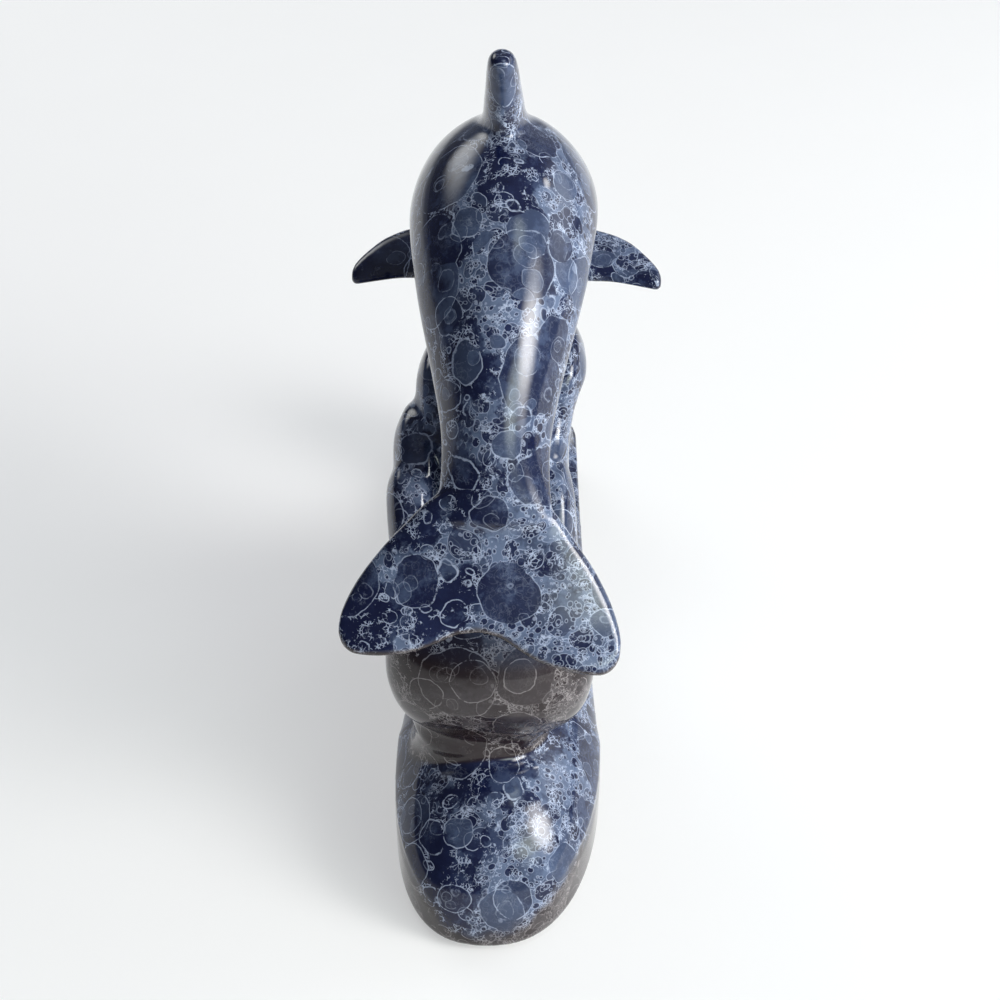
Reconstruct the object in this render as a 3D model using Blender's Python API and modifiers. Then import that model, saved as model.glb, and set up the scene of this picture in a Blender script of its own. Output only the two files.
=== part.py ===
"""Dolphin candle holder: a slip-cast, bubble-glazed ceramic figure, modelled as the castings it is luted from.

Metres, +Z up. The dolphin leaps towards +Y over a wave, and the candle stands in a cup at the +Y end of the base.
The origin is on the surface that the holder stands on, under the middle of the base. The figure's free shapes
are drawn as tables of stations on a grid, seen from the origin.
"""

import math

import bmesh
import bpy
from mathutils import Vector

# One square of the grid that the tables below are drawn on
GRID_SPACING = 0.001

# Clay, slip joints and felt
JOINT_GAP = 0.0003
CLAY_WALL = 0.0045
FELT_THICKNESS = 0.001
FELT_INSET = 0.003
DRAIN_RADIUS = 0.004
NEEDLE_WIDTH = 0.00005

# Base mound, egg-shaped in plan and widest under the back of the wave
BASE_LENGTH = 0.183
BASE_HALF_WIDTH = 0.0242
BASE_TAIL_LENGTH = 0.0485
BASE_TAIL_BLUNTNESS = 2.45
BASE_NOSE_HALF_WIDTH = 0.0182
BASE_TAPER = 0.65
BASE_SWAY = 0.0004
BASE_TAIL_SWAY = -0.0014
BASE_SHOULDER_HEIGHT = 0.0170
BASE_TAIL_DROP = 0.0105
BASE_DROP_SHARPNESS = 8
BASE_CROWN_HEIGHT = 0.0345
BASE_NOSE_HEIGHT = 0.0215
BASE_FOOT_BEVEL = 0.0009
BASE_CLIMB_LENGTH = 0.030
BASE_CLIMB_FULLNESS = 0.85
BASE_DOME_FULLNESS = 0.72

# Candle cup, for a common 22 mm taper
SOCKET_RADIUS = 0.0112
SOCKET_DEPTH = 0.024
CUP_WALL = 0.0050
CUP_LIP = 0.0015
CUP_RIM_HEIGHT = 0.048
CUP_FOOT_RADIUS = 0.0168
CUP_SIDES = 36
CUP_SETBACK = 0.020

# Wave
SWELL_HALF_WIDTH = 0.0232
SWELL_BULGE_HEIGHT = 0.053
COLUMN_HALF_WIDTH = 0.0120
CREST_RADIUS = 0.0058
CREST_DEPTH = 1.1
CREST_FLATNESS = 1.1
CREST_TAPER = 1.5

# Dolphin
BODY_HALF_WIDTH = 0.0200
BACK_RIDGE = 0.13
DORSAL_FIN_Y = 0.0055
DORSAL_FIN_SINK = 0.0024
DORSAL_FIN_HEIGHT = 0.0192
DORSAL_FIN_CHORD = 0.027
DORSAL_FIN_THICKNESS = 0.0095
DORSAL_FIN_LEAN = -0.0003
DORSAL_FIN_SLOPE = 0.42
PECTORAL_REACH = 0.0355
PECTORAL_CHORD = 0.0140
PECTORAL_THICKNESS = 0.0062
PECTORAL_ROOT_FULLNESS = 1.5
PECTORAL_THINNING = 0.9
PECTORAL_TILT = math.radians(18)
FLUKE_HALF_SPAN = 0.0291
FLUKE_CHORD = 0.034
FLUKE_THICKNESS = 0.0062
FLUKE_TIP_THINNING = 0.37
FLUKE_DROOP = 0.0035
FLUKE_DROOP_LATENESS = 1.5
FLUKE_BLUNTNESS = 0.7
FLUKE_TURN = math.radians(4)
TAIL_SLOPE = math.radians(66)
TAIL_FLICK = math.radians(38)
TAIL_FLICK_LATENESS = 1.6
VENT_RADIUS = 0.004

# Sections: powers under 1 square their shoulders; then sides, and steps from one station to the next
OVAL_BLUNTNESS = 0.9
WAVE_BLUNTNESS = 0.85
BODY_SIDES = 28
HOLLOW_SIDES = 16
FIN_SIDES = 18
FLUKE_SIDES = 20
CREST_SIDES = 14
PLUG_SIDES = 20
PLAN_POINTS = 30
TIP_RINGS = 3
BODY_STEPS = 3
WAVE_STEPS = 2
FLUKE_STEPS = 2
TAIL_CURVE_STEPS = 24

# Where the tail stock hands over to the flukes, on their middle surface
TAIL_ROOT = (-0.6, -60.0, 104.3)

# The body from tail to beak: back y and z, belly y and z, and half-width as a share of the widest
BODY_STATIONS = [
    (-65.0, 103.2, -57.4, 99.9, 0.610),
    (-63.3, 107.2, -53.5, 102.0, 0.578),
    (-60.3, 113.4, -46.5, 104.8, 0.550),
    (-55.8, 121.5, -38.6, 108.6, 0.575),
    (-48.5, 131.6, -30.0, 113.2, 0.680),
    (-38.0, 142.0, -22.0, 117.0, 0.810),
    (-24.0, 152.2, -13.0, 119.0, 0.930),
    (-7.4, 158.0, -3.5, 118.6, 0.995),
    (9.5, 155.2, 5.0, 115.5, 1.000),
    (23.8, 145.8, 10.2, 110.0, 0.970),
    (34.5, 132.5, 13.0, 102.5, 0.910),
    (41.5, 118.0, 15.8, 95.5, 0.820),
    (45.3, 105.0, 20.5, 89.0, 0.710),
    (46.6, 96.0, 25.0, 84.2, 0.610),
    (46.0, 88.5, 29.0, 80.8, 0.470),
    (43.6, 84.0, 31.5, 78.6, 0.310),
    (42.9, 78.5, 33.8, 74.5, 0.265),
    (41.8, 72.5, 35.2, 69.5, 0.215),
    (40.0, 69.5, 37.4, 68.2, 0.090),
]
HOLLOW_FROM = 4
HOLLOW_TO = 12
VENT_STATION = 7

# The flukes at shares of the half-span: how far down the tail curve they start and end, as shares of the chord
FLUKE_PLAN = [
    (0.00, -0.10, 0.770),
    (0.15, -0.10, 0.795),
    (0.32, -0.07, 0.870),
    (0.45, 0.02, 0.915),
    (0.60, 0.18, 0.940),
    (0.75, 0.34, 0.950),
    (0.88, 0.51, 0.940),
    (0.955, 0.64, 0.895),
    (0.99, 0.74, 0.835),
]

# The dorsal fin from inside the back to its tip, as shares: rise, sweep back, chord and thickness
DORSAL_FIN_ROWS = [
    (-0.35, 0.02, 1.02, 1.00),
    (-0.05, 0.00, 1.00, 1.05),
    (0.30, -0.10, 0.80, 0.92),
    (0.65, -0.23, 0.58, 0.79),
    (0.95, -0.35, 0.40, 0.68),
    (1.12, -0.43, 0.29, 0.56),
    (1.20, -0.47, 0.15, 0.32),
]

# A pectoral fin from inside the flank to its tip: the middle's y and z, and reach and chord as shares
PECTORAL_ROWS = [
    (22.0, 113.7, 0.36, 1.20),
    (21.0, 112.7, 0.53, 1.05),
    (20.2, 112.3, 0.68, 0.95),
    (18.4, 111.8, 0.81, 0.82),
    (16.0, 111.0, 0.92, 0.58),
    (14.6, 110.4, 0.975, 0.40),
    (14.0, 110.1, 1.00, 0.18),
]

# The middle of the wave: height, rear y, front y, middle x, and half-width as a share
COLUMN_ROWS = [
    (14.0, -47.0, 42.0, 0.0, 1.45),
    (26.0, -45.0, 33.0, 0.0, 1.20),
    (45.0, -43.0, 21.0, 0.0, 1.02),
    (70.0, -41.0, 13.0, 0.0, 0.98),
    (90.0, -38.0, 11.0, 0.0, 0.98),
    (105.0, -34.0, 12.0, 0.0, 0.95),
    (118.0, -27.0, 12.0, 0.0, 0.80),
    (127.0, -20.0, 9.0, 0.0, 0.60),
]
COLUMN_HOLLOW_ROWS = [
    (10.0, -38.0, 26.0, 0.0, 0.80),
    (45.0, -37.0, 14.0, 0.0, 0.62),
    (70.0, -35.0, 7.0, 0.0, 0.60),
    (90.0, -31.0, 5.0, 0.0, 0.58),
    (104.0, -26.0, 4.0, 0.0, 0.45),
]

# The swell behind the wave: height over its widest line, rear y, front y, middle x, and half-width as a share
SWELL_ROWS = [
    (-34.0, -65.7, -36.0, -1.4, 0.87),
    (-26.5, -64.6, -36.0, -0.8, 0.80),
    (-20.5, -64.8, -36.0, -3.5, 0.66),
    (-17.2, -65.2, -36.0, -3.6, 0.67),
    (-14.6, -64.3, -36.0, -2.5, 0.77),
    (-12.6, -64.1, -36.0, -1.4, 0.885),
    (-10.4, -65.2, -36.0, -1.3, 0.93),
    (-6.0, -66.9, -36.0, -1.3, 0.975),
    (0.0, -68.0, -36.0, -1.3, 1.00),
    (8.0, -67.0, -36.0, -1.3, 0.97),
    (15.0, -63.0, -36.0, -1.3, 0.86),
    (21.0, -58.0, -36.0, -1.3, 0.68),
    (26.0, -53.0, -36.0, -1.3, 0.45),
    (28.0, -48.0, -37.0, -1.3, 0.20),
]
SWELL_HOLLOW_ROWS = [
    (-36.0, -57.0, -48.0, -1.3, 0.50),
    (-14.0, -57.0, -48.0, -1.3, 0.52),
    (0.0, -62.0, -48.0, -1.3, 0.68),
    (8.0, -61.0, -48.0, -1.3, 0.62),
    (14.0, -57.0, -49.0, -1.3, 0.40),
]

# Each crest from its foot to its curled tip: x, y and z of the middle, and thickness as a share
CRESTS = {
    "wave_crest_left_high": [
        (-12.5, -24.0, 34.0, 0.90),
        (-13.0, -28.0, 62.0, 0.90),
        (-13.4, -23.0, 86.0, 0.92),
        (-13.6, -11.0, 99.4, 1.00),
        (-12.8, 3.0, 96.0, 0.92),
        (-12.5, 9.0, 86.0, 0.60),
    ],
    "wave_crest_left_middle": [
        (-16.0, -31.0, 32.0, 1.05),
        (-17.2, -36.0, 56.0, 1.05),
        (-17.7, -31.0, 77.0, 1.00),
        (-18.1, -19.0, 90.2, 1.02),
        (-16.5, -6.0, 84.0, 0.85),
        (-15.5, -2.0, 75.0, 0.55),
    ],
    "wave_crest_left_low": [
        (-15.7, -38.0, 31.0, 1.05),
        (-17.8, -44.0, 52.0, 1.08),
        (-18.5, -41.0, 69.0, 0.94),
        (-19.5, -30.0, 82.8, 0.98),
        (-19.2, -19.0, 78.5, 0.80),
        (-19.0, -15.0, 71.5, 0.55),
    ],
    "wave_crest_right_high": [
        (11.5, -24.0, 34.0, 0.95),
        (11.2, -28.0, 64.0, 0.83),
        (10.8, -23.0, 87.0, 0.76),
        (11.3, -17.0, 95.0, 0.80),
        (12.9, -10.5, 103.2, 0.98),
        (12.6, 4.0, 100.0, 0.90),
        (12.2, 10.0, 90.0, 0.60),
    ],
    "wave_crest_right_low": [
        (14.0, -34.0, 30.0, 1.15),
        (13.0, -41.0, 50.0, 1.15),
        (12.0, -41.0, 68.0, 1.04),
        (11.2, -32.0, 82.5, 0.97),
        (11.0, -24.0, 85.0, 0.75),
    ],
}

HOLDER = bpy.data.collections.new("dolphin_candle_holder")
CUTTERS = bpy.data.collections.new("cutters")


def clear_scene():
    for thing in list(bpy.data.objects):
        bpy.data.objects.remove(thing)
    for group in (HOLDER, CUTTERS):
        bpy.context.scene.collection.children.link(group)


def finish(name, colour, roughness):
    material = bpy.data.materials.new(name)
    material.use_nodes = True
    shader = material.node_tree.nodes["Principled BSDF"]
    shader.inputs["Base Color"].default_value = (*colour, 1)
    shader.inputs["Roughness"].default_value = roughness
    shader.inputs["Metallic"].default_value = 0
    return material


def curve_through(rows, steps):
    """Catmull-Rom through rows of numbers, with this many steps from each row to the next."""
    padded = [rows[0], *rows, rows[-1]]
    made = []
    for i in range(len(rows) - 1):
        for k in range(steps):
            made.append(tuple(between(column, k / steps) for column in zip(*padded[i : i + 4])))
    made.append(tuple(rows[-1]))
    return made


def between(column, t):
    a, b, c, d = column
    return b + 0.5 * t * (c - a + t * (2 * a - 5 * b + 4 * c - d + t * (3 * (b - c) + d - a)))


def from_grid(rows, first, last):
    """Turns the columns from first to last, which are places on the grid, into metres."""
    return [tuple(v * GRID_SPACING if first <= i <= last else v for i, v in enumerate(row)) for row in rows]


def rounded(wave, power):
    """A sine or cosine raised to a power with its sign kept: under 1, a section's corners fill out."""
    return math.copysign(abs(wave) ** power, wave)


def oval(centre, across, up, sides, power=1.0, ridge=0.0):
    """A closed section on two half-axes; a power under 1 squares its shoulders, a ridge narrows its top."""
    points = []
    for k in range(sides):
        angle = math.tau * k / sides
        run = rounded(math.cos(angle), power)
        rise = rounded(math.sin(angle), power)
        points.append(centre + across * run * (1 - ridge * max(0, rise)) + up * rise)
    return points


def loft(name, rings, material=None):
    """One closed solid through rings of equally many points, with a flat cap at each end."""
    bm = bmesh.new()
    rows = [[bm.verts.new(point) for point in ring] for ring in rings]
    sides = len(rows[0])
    for low, high in zip(rows, rows[1:]):
        for k in range(sides):
            after = (k + 1) % sides
            bm.faces.new((low[k], low[after], high[after], high[k]))
    bm.faces.new(rows[0][::-1])
    bm.faces.new(rows[-1])
    bmesh.ops.recalc_face_normals(bm, faces=bm.faces)
    return as_object(name, bm, material)


def as_object(name, bm, material=None):
    """Without a material the object is a cutter."""
    mesh = bpy.data.meshes.new(name)
    bm.to_mesh(mesh)
    bm.free()
    mesh.shade_smooth()
    mesh.set_sharp_from_angle(angle=math.radians(50))
    thing = bpy.data.objects.new(name, mesh)
    if material:
        mesh.materials.append(material)
        HOLDER.objects.link(thing)
    else:
        hide_cutter(thing)
    return thing


def hide_cutter(thing):
    CUTTERS.objects.link(thing)
    thing.hide_render = True
    thing.display_type = "WIRE"


def seat_of(thing):
    """A cutter with a neighbour's own shape, larger all round by the slip joint."""
    cutter = bpy.data.objects.new(thing.name + "_seat", thing.data)
    hide_cutter(cutter)
    swell = cutter.modifiers.new("joint", "DISPLACE")
    swell.strength = JOINT_GAP
    swell.mid_level = 0
    return cutter


def cut(thing, cutters):
    """Cuts one after another, each on a clean mesh. A seat is made from a piece before the piece is cut."""
    for cutter in cutters:
        boolean = thing.modifiers.new("cut", "BOOLEAN")
        boolean.operation = "DIFFERENCE"
        boolean.object = cutter
        boolean.use_self = True
        settle(thing)


def settle(thing):
    """Makes a cut piece a plain triangle mesh, without the needle faces that cuts leave along their edges."""
    graph = bpy.context.evaluated_depsgraph_get()
    mesh = bpy.data.meshes.new_from_object(thing.evaluated_get(graph))
    thing.modifiers.clear()
    thing.data = mesh
    bm = bmesh.new()
    bm.from_mesh(mesh)
    bmesh.ops.remove_doubles(bm, verts=bm.verts, dist=NEEDLE_WIDTH)
    bmesh.ops.dissolve_degenerate(bm, dist=NEEDLE_WIDTH, edges=bm.edges)
    bmesh.ops.dissolve_verts(bm, verts=[corner for corner in bm.verts if len(corner.link_edges) == 2])
    bmesh.ops.triangulate(bm, faces=bm.faces, quad_method="BEAUTY", ngon_method="BEAUTY")
    bmesh.ops.dissolve_degenerate(bm, dist=NEEDLE_WIDTH, edges=bm.edges)
    bmesh.ops.remove_doubles(bm, verts=bm.verts, dist=NEEDLE_WIDTH)
    drop_folded(bm)
    close_slits(bm)
    bm.to_mesh(mesh)
    bm.free()


def drop_folded(bm):
    """Deletes pairs of faces that lie back to back on the same corners."""
    first = {}
    folded = set()
    for face in bm.faces:
        corners = frozenset(face.verts)
        if corners in first:
            folded.update((face, first[corners]))
        first[corners] = face
    bmesh.ops.delete(bm, geom=list(folded), context="FACES")


def close_slits(bm):
    """Closes the three-sided and four-sided holes where a needle face fell away."""
    bmesh.ops.delete(bm, geom=[edge for edge in bm.edges if edge.is_wire], context="EDGES")
    rims = [edge for edge in bm.edges if edge.is_boundary]
    filled = bmesh.ops.holes_fill(bm, edges=rims, sides=4)
    bmesh.ops.triangulate(bm, faces=filled["faces"])


def plug(name, radius, bottom, top, y):
    """A round upright cutter."""
    bm = bmesh.new()
    bmesh.ops.create_cone(
        bm, cap_ends=True, segments=PLUG_SIDES, radius1=radius, radius2=radius, depth=top - bottom
    )
    bmesh.ops.translate(bm, verts=bm.verts, vec=(0, y, (top + bottom) / 2))
    return as_object(name, bm)


# Base mound and felt

BASE_BOTTOM = FELT_THICKNESS + JOINT_GAP
BASE_TAIL_Y = -BASE_LENGTH / 2
BASE_WIDEST_Y = BASE_TAIL_Y + BASE_TAIL_LENGTH
BASE_NOSE_Y = BASE_LENGTH / 2 - BASE_NOSE_HALF_WIDTH
CUP_CENTRE_Y = BASE_LENGTH / 2 - CUP_SETBACK


def base_half_width(y):
    """An elliptical tail, a slow taper forward, and a round nose."""
    if y < BASE_WIDEST_Y:
        share = min(1, (BASE_WIDEST_Y - y) / BASE_TAIL_LENGTH)
        return BASE_HALF_WIDTH * (1 - share**BASE_TAIL_BLUNTNESS) ** (1 / BASE_TAIL_BLUNTNESS)
    if y < BASE_NOSE_Y:
        share = (y - BASE_WIDEST_Y) / (BASE_NOSE_Y - BASE_WIDEST_Y)
        return BASE_HALF_WIDTH + (BASE_NOSE_HALF_WIDTH - BASE_HALF_WIDTH) * share**BASE_TAPER
    share = (y - BASE_NOSE_Y) / BASE_NOSE_HALF_WIDTH
    return BASE_NOSE_HALF_WIDTH * math.sqrt(max(0, 1 - share * share))


def base_middle(y):
    """The mound was smoothed by hand, so its tail swings a little to one side."""
    share = max(0, BASE_WIDEST_Y - y) / BASE_TAIL_LENGTH
    return BASE_SWAY + (BASE_TAIL_SWAY - BASE_SWAY) * share * share


def base_plan(inset=0.0):
    """The outline of the mound, moved in by the inset."""
    side = []
    for k in range(PLAN_POINTS + 1):
        y = -BASE_LENGTH / 2 * math.cos(math.pi * k / PLAN_POINTS)
        side.append((base_half_width(y), y))
    outline = [Vector((base_middle(y) + x, y, 0)) for x, y in side]
    outline += [Vector((base_middle(y) - x, y, 0)) for x, y in side[-2:0:-1]]
    if not inset:
        return outline
    moved = []
    for before, here, after in zip(outline[-1:] + outline[:-1], outline, outline[1:] + outline[:1]):
        along = (after - before).normalized()
        moved.append(here + Vector((-along.y, along.x, 0)) * inset)
    return moved


def base_shoulder(y):
    """The height of the mound's side wall, which sinks round the end of the tail."""
    share = max(0, BASE_WIDEST_Y - y) / BASE_TAIL_LENGTH
    return BASE_SHOULDER_HEIGHT - BASE_TAIL_DROP * share**BASE_DROP_SHARPNESS


def base_crown(y):
    """The height of the mound's ridge: it climbs from the tail to the wave, and drops to the cup."""
    if y < 0:
        share = min(1, (y - BASE_TAIL_Y) / BASE_CLIMB_LENGTH)
        climb = math.sin(share * math.pi / 2) ** BASE_CLIMB_FULLNESS
        return base_shoulder(y) + (BASE_CROWN_HEIGHT - base_shoulder(y)) * climb
    share = min(1, y / (CUP_CENTRE_Y - CUP_FOOT_RADIUS))
    ease = share * share * (3 - 2 * share)
    ridge = BASE_CROWN_HEIGHT + (BASE_NOSE_HEIGHT - BASE_CROWN_HEIGHT) * ease
    nose = max(0, (y - BASE_NOSE_Y) / BASE_NOSE_HALF_WIDTH)
    return BASE_SHOULDER_HEIGHT + (ridge - BASE_SHOULDER_HEIGHT) * math.sqrt(max(0, 1 - nose * nose))


def base_top(x, y):
    width = base_half_width(y)
    share = min(1, abs(x - base_middle(y)) / width) if width > 0 else 1
    shoulder = base_shoulder(y)
    return shoulder + (base_crown(y) - shoulder) * (1 - share * share) ** BASE_DOME_FULLNESS


def shrunk(outline, share):
    return [Vector((p.x * share, p.y * share, p.z)) for p in outline]


def build_base(material):
    rings = []
    for bevels_in, bevels_up in ((1, 0), (0.3, 0.5), (0, 1.6)):
        height = Vector((0, 0, BASE_BOTTOM + BASE_FOOT_BEVEL * bevels_up))
        rings.append([p + height for p in base_plan(BASE_FOOT_BEVEL * bevels_in)])
    for bevels_in, share in ((0, 0.75), (0.3, 1)):
        ring = base_plan(BASE_FOOT_BEVEL * bevels_in)
        rings.append([p + Vector((0, 0, base_shoulder(p.y) * share)) for p in ring])
    for share in (0.96, 0.91, 0.84, 0.75, 0.63, 0.48, 0.32, 0.15):
        ring = shrunk(base_plan(), share)
        rings.append([Vector((p.x, p.y, base_top(p.x, p.y))) for p in ring])
    base = loft("base_mound", rings, material)
    seat = seat_of(base)
    floor = BASE_BOTTOM + CLAY_WALL
    inner = base_plan(CLAY_WALL)
    hollow = [[p + Vector((0, 0, floor)) for p in inner]]
    hollow.append([p + Vector((0, 0, max(floor + JOINT_GAP, base_shoulder(p.y) - CLAY_WALL))) for p in inner])
    for share in (0.9, 0.75, 0.55, 0.3):
        ring = shrunk(inner, share)
        hollow.append([Vector((p.x, p.y, base_top(p.x, p.y) - CLAY_WALL)) for p in ring])
    drain = plug("base_drain", DRAIN_RADIUS, 0, BASE_BOTTOM + 2 * CLAY_WALL, BASE_WIDEST_Y)
    cut(base, [loft("base_hollow", hollow), drain])
    return seat


def build_felt(material):
    low = base_plan(FELT_INSET)
    return loft("felt_pad", [low, [p + Vector((0, 0, FELT_THICKNESS)) for p in low]], material)


# Dolphin

BODY = from_grid(BODY_STATIONS, 0, 3)


def back_height(y):
    """The height of the dolphin's back over a place along the holder."""
    for (y0, z0, *_), (y1, z1, *_) in zip(BODY, BODY[1:]):
        if y0 <= y <= y1:
            return z0 + (z1 - z0) * (y - y0) / (y1 - y0)
    return BODY[0][1]


def build_body(material):
    rings = []
    hollow = []
    rows = curve_through(BODY, BODY_STEPS)
    for number, (back_y, back_z, belly_y, belly_z, share) in enumerate(rows):
        back = Vector((0, back_y, back_z))
        belly = Vector((0, belly_y, belly_z))
        centre = (back + belly) / 2
        up = (back - belly) / 2
        half_width = BODY_HALF_WIDTH * share
        rings.append(oval(centre, Vector((half_width, 0, 0)), up, BODY_SIDES, ridge=BACK_RIDGE))
        if number % 2 == 0 and HOLLOW_FROM <= number / BODY_STEPS <= HOLLOW_TO:
            inner = Vector((half_width - CLAY_WALL, 0, 0))
            hollow.append(oval(centre, inner, up.normalized() * (up.length - CLAY_WALL), HOLLOW_SIDES))
    body = loft("dolphin_body", rings, material)
    seat = seat_of(body)
    _, _, vent_y, belly_z, _ = BODY[VENT_STATION]
    vent = plug("body_vent", VENT_RADIUS, belly_z - 3 * CLAY_WALL, belly_z + 3 * CLAY_WALL, vent_y)
    cut(body, [loft("body_hollow", hollow), vent])
    return seat


def tail_curve(distance):
    """The middle surface of the flukes, seen from the side: a steep run that flicks out at its end."""
    point = Vector(TAIL_ROOT) * GRID_SPACING
    slope = TAIL_SLOPE
    for k in range(TAIL_CURVE_STEPS):
        run = distance * (k + 0.5) / TAIL_CURVE_STEPS
        slope = TAIL_SLOPE - TAIL_FLICK * (max(0, run) / FLUKE_CHORD) ** TAIL_FLICK_LATENESS
        point += Vector((0, -math.cos(slope), -math.sin(slope))) * distance / TAIL_CURVE_STEPS
    return point, Vector((0, -math.sin(slope), math.cos(slope)))


def build_flukes(material):
    """Fluke sections across the tail: both lobes thin out and droop towards their tips."""
    half = curve_through(FLUKE_PLAN, FLUKE_STEPS)
    span = [(-share, start, end) for share, start, end in half[:0:-1]] + half
    pivot, _ = tail_curve(0)
    rings = []
    for share, start, end in span:
        thickness = FLUKE_THICKNESS / 2 * (1 - FLUKE_TIP_THINNING * abs(share))
        droop = FLUKE_DROOP * abs(share) ** FLUKE_DROOP_LATENESS
        middle = (start + end) / 2 * FLUKE_CHORD
        half_chord = (end - start) / 2 * FLUKE_CHORD
        ring = []
        for k in range(FLUKE_SIDES):
            angle = math.tau * k / FLUKE_SIDES
            run = middle + half_chord * rounded(math.cos(angle), FLUKE_BLUNTNESS)
            rise = thickness * rounded(math.sin(angle), FLUKE_BLUNTNESS) - droop
            on_curve, normal = tail_curve(run)
            ring.append(on_curve + normal * rise + Vector((share * FLUKE_HALF_SPAN, 0, 0)))
        rings.append(ring)
    turned = [[turned_about(point, pivot, FLUKE_TURN) for point in ring] for ring in rings]
    return loft("tail_flukes", turned, material)


def turned_about(point, pivot, angle):
    """Turns a point in the plane of the tail, so that one fluke hangs lower than the other."""
    down = Vector((0, -math.cos(TAIL_SLOPE), -math.sin(TAIL_SLOPE)))
    arm = point - pivot
    along = arm.dot(down)
    rest = arm - down * along - Vector((arm.x, 0, 0))
    x = arm.x * math.cos(angle) - along * math.sin(angle)
    run = along * math.cos(angle) + arm.x * math.sin(angle)
    return pivot + Vector((x, 0, 0)) + down * run + rest


def build_dorsal_fin(material):
    rings = []
    root = back_height(DORSAL_FIN_Y) - DORSAL_FIN_SINK
    for rise, sweep, chord, thickness in curve_through(DORSAL_FIN_ROWS, BODY_STEPS):
        y = DORSAL_FIN_Y + sweep * DORSAL_FIN_CHORD
        centre = Vector((DORSAL_FIN_LEAN * max(0, rise), y, root + rise * DORSAL_FIN_HEIGHT))
        across = Vector((DORSAL_FIN_THICKNESS / 2 * thickness, 0, 0))
        along = Vector((0, 1, DORSAL_FIN_SLOPE * (rise - 1))) * (DORSAL_FIN_CHORD / 2 * chord)
        rings.append(oval(centre, across, along, FIN_SIDES))
    return loft("dorsal_fin", rings, material)


PECTORAL_FORWARD = Vector((0, math.cos(PECTORAL_TILT), math.sin(PECTORAL_TILT)))
PECTORAL_FLAT = Vector((0, -math.sin(PECTORAL_TILT), math.cos(PECTORAL_TILT)))


def build_pectoral_fin(name, side, material):
    rings = []
    for y, z, reach, chord in curve_through(from_grid(PECTORAL_ROWS, 0, 1), BODY_STEPS):
        centre = Vector((side * reach * PECTORAL_REACH, y, z))
        forward = PECTORAL_FORWARD * (PECTORAL_CHORD / 2 * chord)
        thickness = PECTORAL_THICKNESS / 2 * (PECTORAL_ROOT_FULLNESS - PECTORAL_THINNING * reach)
        flat = PECTORAL_FLAT * thickness * min(1, 3 * chord)
        rings.append(oval(centre, forward, flat, FIN_SIDES, OVAL_BLUNTNESS))
    return loft(name, rings, material)


# Wave


def upright_loft(name, rows, half_width, material=None, sides=BODY_SIDES, foot=0.0):
    """Level oval rings from rows: height over the foot, rear y, front y, middle x, and half-width as a share."""
    rings = []
    for height, rear, front, x, share in from_grid(rows, 0, 3):
        centre = Vector((x, (rear + front) / 2, foot + height))
        along = Vector((0, (front - rear) / 2, 0))
        rings.append(oval(centre, Vector((half_width * share, 0, 0)), along, sides, WAVE_BLUNTNESS))
    return loft(name, rings, material)


def build_column(material, neighbours):
    column = upright_loft("wave_column", curve_through(COLUMN_ROWS, WAVE_STEPS), COLUMN_HALF_WIDTH, material)
    seat = seat_of(column)
    hollow = upright_loft("column_hollow", COLUMN_HOLLOW_ROWS, COLUMN_HALF_WIDTH, sides=HOLLOW_SIDES)
    cut(column, [hollow, *neighbours])
    return seat


def build_swell(material, neighbours):
    rows = curve_through(SWELL_ROWS, WAVE_STEPS)
    foot = SWELL_BULGE_HEIGHT
    swell = upright_loft("rear_swell", rows, SWELL_HALF_WIDTH, material, foot=foot)
    hollow = upright_loft("swell_hollow", SWELL_HOLLOW_ROWS, SWELL_HALF_WIDTH, sides=HOLLOW_SIDES, foot=foot)
    cut(swell, [hollow, *neighbours])


def build_crest(name, rows, material, neighbours):
    """A finger of water: oval sections square to its own path, with a domed end where it curls over."""
    path = curve_through(from_grid(rows, 0, 2), BODY_STEPS)
    rings = []
    for number, (x, y, z, share) in enumerate(path):
        before = Vector(path[max(0, number - 1)][:3])
        after = Vector(path[min(len(path) - 1, number + 1)][:3])
        along = (after - before).normalized()
        up = along.cross(Vector((1, 0, 0))).normalized()
        across = up.cross(along)
        radius = CREST_RADIUS * share
        depth = radius * (CREST_FLATNESS + CREST_DEPTH * (1 - number / (len(path) - 1)) ** CREST_TAPER)
        centre = Vector((x, y, z)) + up * (depth - radius)
        rings.append(oval(centre, across * radius, up * depth, CREST_SIDES, OVAL_BLUNTNESS))
    for k in range(1, TIP_RINGS):
        angle = math.pi / 2 * k / TIP_RINGS
        narrow = math.cos(angle)
        ahead = centre + along * radius * math.sin(angle)
        rings.append(oval(ahead, across * radius * narrow, up * depth * narrow, CREST_SIDES, OVAL_BLUNTNESS))
    crest = loft(name, rings, material)
    seat = seat_of(crest)
    cut(crest, neighbours)
    return seat


# Candle cup


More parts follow.
